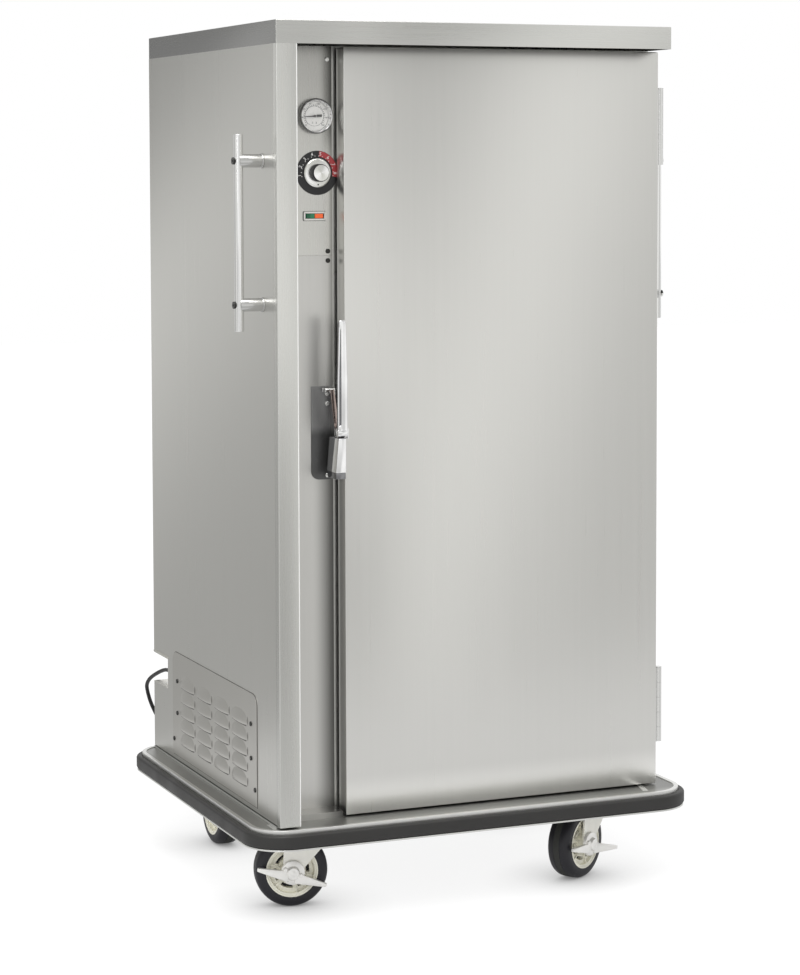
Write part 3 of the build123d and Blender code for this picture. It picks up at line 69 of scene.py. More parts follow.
# Power cord. A black three-core lead in a round jacket. It leaves the strain relief in
# the rear corner, hangs down behind the bumper and lies on the floor, where the rest of
# it is wound into a flat coil of two layers.
cord_diameter = 0.0075
cord_exit = (-0.3465, 0.294, 0.315)
cord_points = [cord_exit, (-0.3465, 0.330, 0.315), (-0.350, 0.356, 0.310), (-0.3595, 0.401, 0.2895),
               (-0.362, 0.419, 0.2745), (-0.360, 0.4275, 0.2615), (-0.348, 0.438, 0.227),
               (-0.3245, 0.4395, 0.182), (-0.297, 0.431, 0.1385), (-0.262, 0.414, 0.090),
               (-0.236, 0.412, 0.048), (-0.212, 0.414, 0.016), (-0.178, 0.411, 0.00375),
               (-0.136, 0.403, 0.00375)]
coil_centre = (-0.0885, 0.455)
coil_outer_radius = 0.054
coil_tail_radius = 0.059
coil_step = 0.0085
coil_turns_in = 5
points_a_half_turn = 8


def coil_points():
    """The coil's turns as half circles that spiral in, climb a layer and spiral out."""
    low, high = cord_diameter / 2, cord_diameter / 2 + coil_step
    place, side, radius = -coil_outer_radius, 1, coil_outer_radius
    halves = []
    for turns, start, end, growth in ((coil_turns_in, low, low, -coil_step / 2), (1, low, high, coil_step / 2),
                                      (coil_turns_in - 1, high, high, coil_step / 2)):
        for _ in range(turns):
            halves.append((place, radius, side, start, end))
            place, side, radius = place + side * 2 * radius, -side, radius + growth
    halves.append((place, coil_tail_radius, side, high, high))
    swell = 1 / math.cos(math.pi / points_a_half_turn / 2)
    points = [(coil_centre[0] - cord_diameter, coil_centre[1] + halves[0][0], low)]
    for place, radius, side, z0, z1 in halves:
        middle = coil_centre[1] + place + side * radius
        for i in range(points_a_half_turn):
            share = (i + 0.5) / points_a_half_turn
            angle = math.pi * share
            points.append((coil_centre[0] + side * radius * swell * math.sin(angle),
                           middle - side * radius * swell * math.cos(angle), z0 + (z1 - z0) * share))
    place, radius, side = halves[-1][:3]
    end = coil_centre[1] + place + side * 2 * radius
    return points + [(coil_centre[0], end, high), (coil_centre[0] - cord_diameter, end, high)]


def new_material(name):
    """A material with an empty Principled shader, and its node tree."""
    made = bpy.data.materials.new(name)
    made.use_nodes = True
    tree = made.node_tree
    return made, tree, tree.nodes["Principled BSDF"]


def feed(tree, node, inputs):
    """Sets a node's inputs, or links those that are given as sockets."""
    for key, value in dict(inputs).items():
        if isinstance(value, bpy.types.NodeSocket):
            tree.links.new(value, node.inputs[key])
        else:
            node.inputs[key].default_value = value


def new_node(tree, kind, inputs=(), **settings):
    """A node with its settings and its inputs."""
    node = tree.nodes.new(kind)
    for key, value in settings.items():
        setattr(node, key, value)
    feed(tree, node, inputs)
    return node


def calc(tree, operation, *values):
    """The result of a maths node."""
    return new_node(tree, "ShaderNodeMath", enumerate(values), operation=operation).outputs[0]


def multiply(tree, colour, share):
    """A colour times a number or another colour."""
    return new_node(tree, "ShaderNodeVectorMath", {0: colour, 1: share}, operation="MULTIPLY").outputs[0]


def map_range(tree, value, low, high, from_low=0.0, from_high=1.0, **settings):
    """A value carried from one range to another."""
    return new_node(tree, "ShaderNodeMapRange", {"Value": value, "From Min": from_low, "From Max": from_high,
                                                 "To Min": low, "To Max": high}, **settings).outputs[0]


def noise(tree, vector, scale, detail, rough=0.5):
    return new_node(tree, "ShaderNodeTexNoise", {"Vector": vector, "Scale": scale, "Detail": detail,
                                                 "Roughness": rough}).outputs["Fac"]


def bumped(tree, height, strength, distance):
    return new_node(tree, "ShaderNodeBump", {"Height": height, "Strength": strength,
                                             "Distance": distance}).outputs["Normal"]


def object_place(tree):
    """The place on the piece, in metres."""
    return tree.nodes.new("ShaderNodeTexCoord").outputs["Object"]


def place_on(tree, axis):
    """The place on the piece along one axis."""
    return new_node(tree, "ShaderNodeSeparateXYZ", {"Vector": object_place(tree)}).outputs[axis]


def ramp(tree, value, stops):
    """A colour ramp over a value, from pairs of place and colour."""
    node = new_node(tree, "ShaderNodeValToRGB", {"Fac": value})
    points = node.color_ramp.elements
    points[0].position, points[1].position = stops[0][0], stops[-1][0]
    for place, _ in stops[1:-1]:
        points.new(place)
    for point, (_, colour) in zip(points, stops):
        point.color = (*colour, 1)
    return node.outputs["Color"]


def surface_group(name, vectors, numbers):
    """A shader group with its sockets, which puts out a tone, a roughness and a height."""
    tree = bpy.data.node_groups.new(name, "ShaderNodeTree")
    for kind, keys, way in (("NodeSocketVector", vectors, "INPUT"), ("NodeSocketFloat", numbers, "INPUT"),
                            ("NodeSocketFloat", ("Tone", "Roughness", "Height"), "OUTPUT")):
        for key in keys:
            tree.interface.new_socket(key, in_out=way, socket_type=kind)
    return tree, tree.nodes.new("NodeGroupInput").outputs, tree.nodes.new("NodeGroupOutput")


def speckle_group():
    """Shader group of fine uneven speckle, as on moulded rubber, plastic and plated steel."""
    tree, given, result = surface_group("fine_speckle", ("Vector",), ("Scale", "Roughness Low", "Roughness High"))
    wide = noise(tree, given["Vector"], 14.0, 5.0)
    feed(tree, result, {
        "Tone": map_range(tree, wide, 0.86, 1.1, 0.3, 0.7),
        "Roughness": map_range(tree, wide, given["Roughness Low"], given["Roughness High"], 0.3, 0.7),
        "Height": noise(tree, given["Vector"], given["Scale"], 4.0)})
    return tree


fine_speckle = speckle_group()


def speckled(name, colour, rough=(0.4, 0.6), metallic=0.0, scale=900.0, bump=0.06):
    """Material of one colour with fine speckle in its tone, roughness and bump."""
    made, tree, shader = new_material(name)
    group = new_node(tree, "ShaderNodeGroup", {"Vector": object_place(tree), "Scale": scale, "Roughness Low": rough[0],
                                               "Roughness High": rough[1]}, node_tree=fine_speckle).outputs
    feed(tree, shader, {"Base Color": multiply(tree, colour, group["Tone"]), "Roughness": group["Roughness"],
                        "Normal": bumped(tree, group["Height"], bump, 0.0004), "Metallic": metallic})
    return made


cord_jacket = speckled("cord_jacket", (0.008, 0.007, 0.008), rough=(0.32, 0.46), scale=1500, bump=0.1)
line = bpy.data.curves.new("power_cord", "CURVE")
line.dimensions = "3D"
spline = line.splines.new("NURBS")
route = cord_points + coil_points()
spline.points.add(len(route) - 1)
for point, place in zip(spline.points, route):
    point.co = (*place, 1)
spline.order_u = 3
spline.use_endpoint_u = True
line.resolution_u = 8
line.bevel_depth = cord_diameter / 2
line.bevel_resolution = 5
line.use_fill_caps = True
line.materials.append(cord_jacket)
power_cord = bpy.data.objects.new("power_cord", line)
scene.collection.objects.link(power_cord)
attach(power_cord, "cabinet")
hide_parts("cord", "cord_coil")


# Strain relief and plug. Both are moulded on the lead in soft black plastic. The strain
# relief has grooves so that it bends, and the plug has a boot, finger grooves and three
# brass pins.
def edges_of(verts):
    """The edges between some vertices."""
    inside = set(verts)
    return [e for e in {e for v in verts for e in v.link_edges} if set(e.verts) <= inside]


def edges_along(verts, axis, least=1e-5):
    """The edges between some vertices that run along an axis, 0 to 2, for more than a length."""
    return [e for e in edges_of(verts) if abs((e.verts[0].co - e.verts[1].co)[axis]) > least]


def round_edges(bm, edges, width, segments=3):
    bmesh.ops.bevel(bm, geom=list(edges), offset=width, segments=segments, profile=0.5,
                    affect="EDGES", material=-1, clamp_overlap=True)


def rims_of(verts, along, sharp=math.radians(60)):
    """The sharp round edges at the ends of a bar that lies along an axis."""
    axis = max(range(3), key=lambda i: abs(along[i]))
    return [e for e in edges_of(verts) if abs((e.verts[0].co - e.verts[1].co)[axis]) < 1e-6
            and len(e.link_faces) == 2 and e.calc_face_angle() > sharp]


def bar(bm, start, end, radius, end_radius=None, segments=48, width=0.0, steps=2):
    """A round bar or cone between two points, its rims rounded where a width is given."""
    start, end = Vector(start), Vector(end)
    along = end - start
    place = Matrix.Translation((start + end) / 2) @ along.to_track_quat("Z", "Y").to_matrix().to_4x4()
    verts = bmesh.ops.create_cone(bm, cap_ends=True, segments=segments, radius1=radius,
                                  radius2=radius if end_radius is None else end_radius,
                                  depth=along.length, matrix=place)["verts"]
    if width:
        round_edges(bm, rims_of(verts, along), width, steps)
    return verts


def pin(bm, spot, front, back, radius, *rest, **settings):
    """A round bar or cone that lies along Y, at a spot given as x and z."""
    return bar(bm, (spot[0], front, spot[1]), (spot[0], back, spot[1]), radius, *rest, **settings)


def block(bm, low, high, width=0.0, steps=2):
    """A box between two corners, its edges rounded where a width is given."""
    low, high = Vector(low), Vector(high)
    place = Matrix.Translation((low + high) / 2) @ Matrix.Diagonal((*(high - low), 1))
    verts = bmesh.ops.create_cube(bm, size=1, matrix=place)["verts"]
    if width:
        round_edges(bm, edges_of(verts), width, steps)
    return verts


def shift(bm, verts, vec):
    bmesh.ops.translate(bm, verts=verts, vec=vec)


def rotate(bm, verts, degrees, axis="Y", centre=(0, 0, 0)):
    """Turns a shape about an axis, clockwise as seen from the front for Y."""
    bmesh.ops.rotate(bm, verts=verts, cent=centre, matrix=Matrix.Rotation(math.radians(degrees), 3, axis))


def piece(name, bm, body, materials, replaced=(), sharp=35.0):
    """A finished mesh: shaded smooth up to an angle, and riding on its body."""
    bmesh.ops.remove_doubles(bm, verts=bm.verts, dist=1e-6)
    bmesh.ops.recalc_face_normals(bm, faces=bm.faces)
    for face in bm.faces:
        face.smooth = True
    for edge in bm.edges:
        if len(edge.link_faces) != 2 or edge.calc_face_angle() > math.radians(sharp):
            edge.smooth = False
    mesh = bpy.data.meshes.new(name)
    bm.to_mesh(mesh)
    bm.free()
    for material in materials if isinstance(materials, (list, tuple)) else [materials]:
        mesh.materials.append(material)
    made = bpy.data.objects.new(name, mesh)
    scene.collection.objects.link(made)
    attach(made, body)
    if replaced:
        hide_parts(*replaced)
    return made


def paint(faces, index):
    for face in faces:
        face.material_index = index


def added(items, before):
    """The faces or corners that came since a set of them was taken."""
    return [item for item in items if item not in before]


def faces_of(verts):
    """The faces whose corners are all among some vertices."""
    inside = set(verts)
    return [f for f in {f for v in verts for f in v.link_faces} if set(f.verts) <= inside]


black_plastic = speckled("black_plastic", (0.016, 0.016, 0.017), rough=(0.38, 0.52), scale=1200, bump=0.12)
pin_brass = speckled("pin_brass", (0.62, 0.44, 0.18), rough=(0.22, 0.34), metallic=1.0, scale=700, bump=0.02)
relief_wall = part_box("cord_gland")[0].y + 0.0015
relief_rings, relief_flange, ring_wide, ring_narrow = 6, 0.004, 0.009, 0.0056
bm = bmesh.new()
gx, gz = cord_exit[0], cord_exit[2]
flange = pin(bm, (gx, gz), relief_wall, relief_wall + relief_flange, 0.012, segments=6)
round_edges(bm, edges_of(flange), 0.0008, 2)
ring_pitch = (cord_exit[1] - relief_wall - relief_flange) / relief_rings
for i in range(relief_rings):
    y = relief_wall + relief_flange + i * ring_pitch
    radius = ring_wide - (ring_wide - ring_narrow) * i / (relief_rings - 1)
    pin(bm, (gx, gz), y, y + ring_pitch * 0.62, radius, radius - 0.0004, width=0.0006)
    pin(bm, (gx, gz), y + ring_pitch * 0.5, y + ring_pitch, radius - 0.0014, radius - 0.0016)
piece("strain_relief", bm, "cabinet", black_plastic, ("cord_gland",))

boot_x, py, pz = coil_points()[-1]
boot_x -= 0.0001
plug_length, plug_half, boot_length, pin_length, earth_length = 0.038, 0.015, 0.020, 0.018, 0.021
boot_rings, boot_ring_pitch = 4, 0.0045
pin_apart, pin_thick, pin_low, pin_high, pin_root = 0.00635, 0.0008, 0.00615, 0.00015, 0.002
body_x = boot_x - boot_length
tip = body_x - plug_length
bm = bmesh.new()
shell = block(bm, (tip, py - plug_half, 0.0), (body_x, py + plug_half, pz * 2))
bmesh.ops.scale(bm, vec=(1, 0.62, 0.72), space=Matrix.Translation((-body_x, -py, -pz)),
                verts=[v for v in shell if v.co.x > body_x - 0.001])
round_edges(bm, edges_of(shell), 0.004, 4)
for i in range(boot_rings):
    x = body_x + 0.001 + i * boot_ring_pitch
    bar(bm, (x, py, pz), (x + 0.003, py, pz), 0.0061 - 0.0004 * i, width=0.0006)
bar(bm, (body_x - 0.002, py, pz), (boot_x, py, pz), 0.0052, 0.0044)
pins = bar(bm, (tip + pin_root, py, pz + 0.005), (tip - earth_length, py, pz + 0.005), 0.0024)
for y in (py - pin_apart, py + pin_apart):
    pins += block(bm, (tip - pin_length, y - pin_thick, pz - pin_low), (tip + pin_root, y + pin_thick, pz + pin_high))
paint(faces_of(pins), 1)
plug = piece("plug_moulded", bm, "cabinet", [black_plastic, pin_brass], ("plug",))


# Deck, channel and bumper. A pale steel deck carries the cabinet on a low frame of flat
# bars. A bright channel runs round its edge, with a lip over the deck and a foot under the
# charcoal rubber profile that it holds.
def brushed_group():
    """Shader group of long fine scratches along one axis, with soft clouding under them."""
    tree, given, result = surface_group("brushed_grain", ("Vector", "Stretch"), ("Rough", "Contrast", "Clouding"))
    along = multiply(tree, given["Vector"], given["Stretch"])
    long = new_node(tree, "ShaderNodeVectorMath", {0: along, "Scale": 0.11}, operation="SCALE").outputs[0]
    both = calc(tree, "ADD", noise(tree, along, 1.0, 3.0), noise(tree, long, 1.0, 2.0))
    centred = calc(tree, "ADD", both, -1.0)
    cloud = calc(tree, "ADD", noise(tree, given["Vector"], 2.6, 4.0, 0.55), -0.5)
    clouded = calc(tree, "MULTIPLY_ADD", cloud, given["Clouding"], 1.0)
    feed(tree, result, {
        "Tone": calc(tree, "MULTIPLY_ADD", centred, given["Contrast"], clouded),
        "Roughness": calc(tree, "MULTIPLY_ADD", centred, 0.08, given["Rough"]),
        "Height": both})
    return tree


brushed_grain = brushed_group()


def fade(tree, axis, start, end, low):
    """One before a place on an axis, falling softly behind it to a share, or to another fade."""
    if isinstance(low, tuple):
        low = fade(tree, *low)
    return map_range(tree, place_on(tree, axis), 1.0, low, start, end, interpolation_type="SMOOTHSTEP")


def brushed(name, colour, stretch, rough=0.3, contrast=0.05, clouding=0.06, metallic=1.0, fades=()):
    """Brushed or satin steel with its grain along the axis that is stretched least."""
    made, tree, shader = new_material(name)
    group = new_node(tree, "ShaderNodeGroup", {"Vector": object_place(tree), "Stretch": stretch, "Rough": rough,
                                               "Contrast": contrast, "Clouding": clouding},
                     node_tree=brushed_grain).outputs
    toned = multiply(tree, colour, group["Tone"])
    # Each fade scales the colour along one axis. The fades given in this script are painted shade, and painted light
    # where they brighten.
    for one in fades:
        toned = multiply(tree, toned, fade(tree, *one))
    feed(tree, shader, {"Base Color": toned, "Roughness": group["Roughness"],
                        "Normal": bumped(tree, group["Height"], 0.02, 0.0003), "Metallic": metallic})
    return made


grain_upright = (900.0, 900.0, 7.0)
grain_across = (7.0, 900.0, 900.0)
grain_along_depth = (900.0, 7.0, 900.0)
# The deck's fade is painted shade: darker behind its front edge, under the door.
deck_steel = brushed("deck_steel", (0.38, 0.38, 0.362), grain_along_depth, rough=0.38, contrast=0.08, clouding=0.1,
                     fades=[("Y", -0.350, -0.322, ("X", -0.245, -0.205, 0.62))])
channel_steel = brushed("channel_steel", (0.74, 0.74, 0.72), grain_across, rough=0.34, contrast=0.04)
bumper_rubber = speckled("bumper_rubber", (0.0185, 0.0178, 0.0165), rough=(0.42, 0.58), scale=1400, bump=0.1)


def hollow(bm, before, axis, wall):
    """Opens a shape's two ends on an axis, and joins them by an inner wall."""
    bm.normal_update()
    ends = [f for f in added(bm.faces, before) if abs(f.normal[axis]) > 0.9]
    for face in ends:
        bmesh.ops.inset_region(bm, faces=[face], thickness=wall, depth=0, use_even_offset=True)
    inner = [e for f in ends for e in f.edges]
    bmesh.ops.delete(bm, geom=ends, context="FACES_ONLY")
    bmesh.ops.bridge_loops(bm, edges=inner)


def rounded_ring(bm, low, high, corner, wall):
    """A ring with the outline of a rounded rectangle, as high as the two corners say."""
    before = set(bm.faces)
    round_edges(bm, edges_along(block(bm, low, high), 2), corner, 14)
    hollow(bm, before, 2, wall)


def level_rims(bm, z, outside=None):
    """Edges that lie at one height, all or only those of the outer wall."""
    bm.normal_update()
    made = []
    for edge in bm.edges:
        upright = [f.normal for f in edge.link_faces if abs(f.normal.z) < 0.5]
        if len(edge.link_faces) == 2 and len(upright) == 1 and all(abs(v.co.z - z) < 1e-5 for v in edge.verts):
            middle = (edge.verts[0].co + edge.verts[1].co) / 2
            if outside is None or outside == (upright[0].xy.dot(middle.xy) > 0):
                made.append(edge)
    return made


bumper_low, bumper_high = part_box("bumper")
bumper_wall, bumper_corner, bumper_round, bumper_groove = 0.011, 0.074, 0.0048, 0.0016
bm = bmesh.new()
rounded_ring(bm, bumper_low, bumper_high, bumper_corner, bumper_wall)
inner_rim = level_rims(bm, bumper_high.z, False)
round_edges(bm, level_rims(bm, bumper_high.z, True) + level_rims(bm, bumper_low.z, True), bumper_round, 5)
round_edges(bm, [e for e in inner_rim if e.is_valid], bumper_groove, 3)
piece("bumper_rubber", bm, "cabinet", bumper_rubber, ("bumper",), sharp=50)

trim_low, trim_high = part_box("bumper_trim")
foot_height, foot_step, channel_web, channel_lip, lip_sheet = 0.003, 0.0095, 0.003, 0.008, 0.0015
foot_corner = bumper_corner - (trim_low.x - bumper_low.x)
step = Vector((foot_step, foot_step, 0))
lip_z = trim_high.z - lip_sheet
bm = bmesh.new()
rounded_ring(bm, trim_low, (trim_high.x, trim_high.y, trim_low.z + foot_height), foot_corner, foot_step + 0.0002)
round_edges(bm, level_rims(bm, trim_low.z + foot_height, True), 0.0010, 2)
rounded_ring(bm, trim_low + step, (trim_high.x - foot_step, trim_high.y - foot_step, lip_z),
             foot_corner - foot_step, channel_web)
rounded_ring(bm, (trim_low.x + foot_step, trim_low.y + foot_step, lip_z),
             (trim_high.x - foot_step, trim_high.y - foot_step, trim_high.z), foot_corner - foot_step, channel_lip)
round_edges(bm, level_rims(bm, trim_high.z), 0.0007, 3)
piece("bumper_channel", bm, "cabinet", channel_steel, ("bumper_trim",), sharp=50)


def dress(material, *names):
    """Gives CAD nodes whose shape is right their finish."""
    for name in names:
        nodes[name].data.materials.clear()
        nodes[name].data.materials.append(material)


dress(deck_steel, "base_deck")

wall_low, wall_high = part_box("left_side_panel")
strip_out, strip_drop, strip_back, shadow_line_height = 0.0018, 0.0040, 0.006, 0.0016
cover_half, cover_height = 0.005, 0.0008
corner_covers = (((-0.371, -0.303), (-0.371, -0.346)), ((0.337, -0.300), (0.328, -0.338)))
bm = bmesh.new()
block(bm, (wall_low.x - strip_out, wall_low.y, wall_low.z - strip_drop),
      (wall_low.x, wall_high.y - strip_back, wall_low.z - 0.0004), 0.0005)
for start, end in corner_covers:
    before = set(bm.verts)
    along, middle = Vector(end) - Vector(start), (Vector(start) + Vector(end)) / 2
    cover = block(bm, (-along.length / 2, -cover_half, 0), (along.length / 2, cover_half, cover_height))
    round_edges(bm, [e for e in edges_of(cover) if e.verts[0].co.z + e.verts[1].co.z > 1.5 * cover_height], 0.0003, 2)
    cover = added(bm.verts, before)
    rotate(bm, cover, math.degrees(math.atan2(along.y, along.x)), "Z")
    shift(bm, cover, (middle.x, middle.y, wall_low.z - strip_drop - 0.0001))
piece("plinth_strips", bm, "cabinet", channel_steel)
# A dark rubber strip along the wall's foot is a painted shadow line above the plinth strip.
bm = bmesh.new()
block(bm, (wall_low.x - 0.0004, wall_low.y, wall_low.z - 0.0004),
      (wall_low.x + 0.001, wall_high.y - strip_back, wall_low.z + shadow_line_height), 0.0002, 1)
piece("plinth_shadow_line", bm, "cabinet", bumper_rubber)


# Casters. Each has a zinc plated fork, a cream moulded rim with slots and a black rubber
# tyre with a worn band. The front two swivel under a ball race and carry a brake pedal
# with two wings on the end of the axle. The rear two are rigid.
joints = {joint["name"]: joint for joint in frame["joints"]}
wheel_radius, wheel_half = 0.0635, 0.022
rim_radius, rim_lip, axle_radius = 0.0454, 0.0060, 0.0050
fork_gap, fork_sheet, crown_height, crown_reach, fork_lead = 0.004, 0.0035, 0.130, 0.0297, 0.014
plate_top, plate_sheet, race_height = 0.156, 0.004, 0.010
slot_count, slot_steps, spoke_steps, slot_turn = 6, 10, 4, 51.6
slot_inner, slot_outer, web_half, slot_shade_half = 0.0250, 0.0312, 0.0150, 0.0040
rib_low, rib_high, hub_reach = 0.0140, 0.0175, fork_gap - 0.0005
turn_steps = slot_count * (slot_steps + spoke_steps)
pedal_half, pedal_gap, pedal_drop, wing_half = 0.0615, 0.0003, 0.007, 0.0072
pedal_stance = {"front_left": (15.0, 0.003), "front_right": (8.0, 0.014)}


def zinc(name, colour, rough):
    return speckled(name, colour, rough=rough, metallic=0.55, scale=420, bump=0.05)


zinc_plate = zinc("zinc_plate", (0.90, 0.89, 0.83), (0.36, 0.52))
pedal_zinc = zinc("pedal_zinc", (0.95, 0.94, 0.91), (0.26, 0.4))
rim_cream = speckled("rim_cream", (0.92, 0.90, 0.78), rough=(0.38, 0.55), scale=500, bump=0.05)
tyre_rubber = speckled("tyre_rubber", (0.0070, 0.0066, 0.0115), rough=(0.36, 0.5), scale=900, bump=0.08)
tyre_worn = speckled("tyre_worn", (0.030, 0.031, 0.027), rough=(0.55, 0.72), scale=300, bump=0.2)


def turned(bm, profile, steps, centre=(0, 0, 0)):
    """A closed ring made by turning a loop of points, given as along and radius, about Y."""
    verts = [bm.verts.new((centre[0], y, centre[2] + r)) for y, r in profile]
    edges = [bm.edges.new((a, b)) for a, b in zip(verts, verts[1:] + verts[:1])]
    bmesh.ops.spin(bm, geom=verts + edges, cent=centre, axis=(0, 1, 0), dvec=(0, 0, 0), angle=math.tau,
                   steps=steps, use_merge=True)


def mirrored(half):
    """A profile from its front half."""
    return half + [(-y, radius) for y, radius in reversed(half)]


def wheel_tyre(name, place, body):
    """Tyre with rounded shoulders, a slight crown and a worn band between two fine grooves."""
    h = wheel_half
    outer = [(-h, rim_radius), (-h, 0.0500), (-h + 0.0008, 0.0560), (-h + 0.0035, 0.0603),
             (-h + 0.0080, 0.0627), (-0.0072, 0.0634), (-0.0066, 0.0628), (-0.0060, wheel_radius)]
    bm = bmesh.new()
    turned(bm, mirrored(outer), 96)
    for face in bm.faces:
        middle = face.calc_center_median()
        if abs(middle.y) < 0.006 and math.hypot(middle.x, middle.z) > 0.055:
            face.material_index = 1
    bmesh.ops.transform(bm, matrix=place, verts=bm.verts)
    piece(name + "_tread", bm, body, [tyre_rubber, tyre_worn], (name + "_tyre",), sharp=40)


def wheel_rim(name, place, body):
    """Moulded rim: a web with curved slots and ribs, a black ring of painted shade inside the slots, a lipped ring and
    a hub with a bore.
    """
    outer, inner, h = rim_radius - 0.00005, rim_radius - rim_lip, wheel_half
    flat, hub, slot_pitch, step = web_half - 0.0015, 0.0155, slot_steps + spoke_steps, 360 / turn_steps
    bm = bmesh.new()
    turned(bm, mirrored([(-flat, hub), (-web_half, slot_inner), (-web_half, slot_outer), (-flat, inner)]), turn_steps)
    slots = {}
    for face in bm.faces:
        middle = face.calc_center_median()
        if slot_inner < math.hypot(middle.x, middle.z) < slot_outer and abs(middle.y) > web_half - 0.0005:
            slot, at = divmod(int(math.degrees(math.atan2(middle.z, middle.x)) % 360 / step), slot_pitch)
            if at < slot_steps:
                slots.setdefault(slot, []).append(face)
    for faces in slots.values():
        edges = [e for f in faces for e in f.edges]
        border = [e for e in edges if edges.count(e) == 1]
        bmesh.ops.delete(bm, geom=faces, context="FACES_ONLY")
        bmesh.ops.bridge_loops(bm, edges=border)
    bmesh.ops.delete(bm, geom=[e for e in bm.edges if not e.link_faces], context="EDGES")
    for i in range(slot_count):
        for low, high in ((-rib_high, -rib_low), (rib_low, rib_high)):
            rib = block(bm, (0.0150, low, -0.0012), (inner - 0.0003, high, 0.0012))
            rotate(bm, rib, -step * (slot_pitch * i + slot_steps + spoke_steps / 2))
    rotate(bm, bm.verts, -slot_turn)
    # A black ring between the webs fills the slots with painted shade.
    before = set(bm.faces)
    turned(bm, mirrored([(-slot_shade_half, slot_inner - 0.001), (-slot_shade_half, slot_outer + 0.001)]), turn_steps)
    paint(added(bm.faces, before), 1)
    for profile in ([(-h, outer), (-h, outer - 0.0022), (-h + 0.0014, outer - 0.0030), (-h + 0.0022, inner),
                     (-web_half + 0.003, inner - 0.0006)],
                    [(-h - hub_reach, axle_radius + 0.00005), (-h - hub_reach, 0.0120), (-h + 0.002, 0.0150),
                     (-0.008, 0.0165)]):
        turned(bm, mirrored(profile), turn_steps)
    bmesh.ops.transform(bm, matrix=place, verts=bm.verts)
    piece(name + "_wheel_rim", bm, body, [rim_cream, tyre_rubber], (name + "_rim",), sharp=40)


def upright_plate(bm, points, front, back):
    """A plate with a front view outline, given as x and z, between two depths."""
    face = bm.faces.new([bm.verts.new((x, front, z)) for x, z in points])
    made = bmesh.ops.extrude_face_region(bm, geom=[face])["geom"]
    moved = [g for g in made if isinstance(g, bmesh.types.BMVert)]
    shift(bm, moved, (0, back - front, 0))
    return list(face.verts) + moved


def fork_leg(bm, side, trail, lead):
    """One pressed leg: wide under the crown and round at the axle."""
    top, eye, eye_side, eye_low = crown_height - wheel_radius, 0.017, 0.003, 0.0115
    points = [(-lead, top + fork_sheet), (crown_reach, top + fork_sheet),
              (crown_reach * 0.8 - trail * 0.2, top - 0.018), (eye - trail, eye_side),
              (eye * 0.75 - trail, -eye_low), (-trail, -eye), (-eye * 0.75 - trail, -eye_low),
              (-eye - trail, eye_side), (-lead, top - 0.020)]
    face = side * (wheel_half + fork_gap)
    leg = upright_plate(bm, points, face, face + side * fork_sheet)
    round_edges(bm, [e for e in edges_along(leg, 1) if e.verts[0].co.z < top], 0.006, 4)


def fork(name, place, body, trail, crown_top, replaced):
    """Fork with its crown, ball race, rivets and axle bolt."""
    bm = bmesh.new()
    half = wheel_half + fork_gap + fork_sheet
    low = crown_height - wheel_radius
    lead = max(crown_reach, trail + fork_lead)
    for side in (-1, 1):
        fork_leg(bm, side, trail, lead)
    crown = block(bm, (-lead, -half, low), (crown_reach, half, low + fork_sheet))
    round_edges(bm, [e for e in edges_along(crown, 0) + edges_along(crown, 2) if e.verts[0].co.z > low + 0.001],
                0.0025, 3)
    bar(bm, (0, 0, low + 0.002), (0, 0, crown_top - wheel_radius), 0.033, width=0.0018, steps=3)
    pin(bm, (-trail, 0), -half - 0.008, half + 0.005, axle_radius, segments=32, width=0.0006)
    pin(bm, (-trail, 0), half, half + 0.005, 0.0085, segments=6, width=0.0006)
    pin(bm, (-trail, 0), half, half + 0.0012, 0.0105, width=0.0003, steps=1)
    for x, z in ((-0.016 - trail, -0.011), (-0.030 - trail * 0.4, -0.018), (-0.022 - trail * 0.4, -0.022)):
        x, z = max(x, 0.006 - lead), low + z
        pin(bm, (x, z), -half - 0.0011, -half, 0.0030, segments=24, width=0.0008)
    bmesh.ops.transform(bm, matrix=place @ Matrix.Translation((0, 0, wheel_radius)), verts=bm.verts)
    piece(name + "_fork_steel", bm, body, zinc_plate, replaced)


def brake_pedal(name, place, body, trail, tilt, splay):
    """Foot pedal: a domed hub with two bosses and two tapered wings."""
    bm = bmesh.new()
    inner = wheel_half + fork_gap + fork_sheet + pedal_gap
    outer = inner + 0.012
    turned(bm, [(-inner, axle_radius + 0.0001), (-inner, 0.0205), (-inner - 0.0010, 0.0215),
                (-inner - 0.0050, 0.0205), (-inner - 0.0062, 0.0165), (-inner - 0.0066, 0.0125),
                (-outer, 0.0095), (-outer, axle_radius + 0.0001)], 64)
    for x, z in ((-0.0145, 0.0035), (0.0145, -0.0005)):
        pin(bm, (x, z), -inner - 0.005, -inner - 0.0105, 0.0042, 0.0034, segments=24, width=0.0008)
    pin(bm, (0, 0), -outer + 0.001, -outer - 0.0002, 0.0052, segments=32, width=0.0008)
    for turn, drop in ((0, -pedal_drop), (180, pedal_drop)):
        kept = set(bm.verts)
        wing = block(bm, (0.006, -inner - 0.0095, drop - wing_half), (pedal_half, -inner - 0.0015, drop + wing_half))
        ends = [v for v in wing if v.co.x > pedal_half - 0.001]
        for share, part in ((0.42, ends), (1.35, [v for v in wing if v not in ends])):
            bmesh.ops.scale(bm, vec=(1, 1, share), space=Matrix.Translation((0, 0, -drop)), verts=part)
        shift(bm, ends, (0, 0 if turn else -splay, 0))
        round_edges(bm, edges_of(wing), 0.0013, 2)
        rotate(bm, added(bm.verts, kept), turn)
    rotate(bm, bm.verts, tilt)
    shift(bm, bm.verts, (-trail, 0, wheel_radius))
    bmesh.ops.transform(bm, matrix=place, verts=bm.verts)
    piece(name + "_pedal_steel", bm, body, pedal_zinc, (name + "_brake_pedal",), sharp=38)


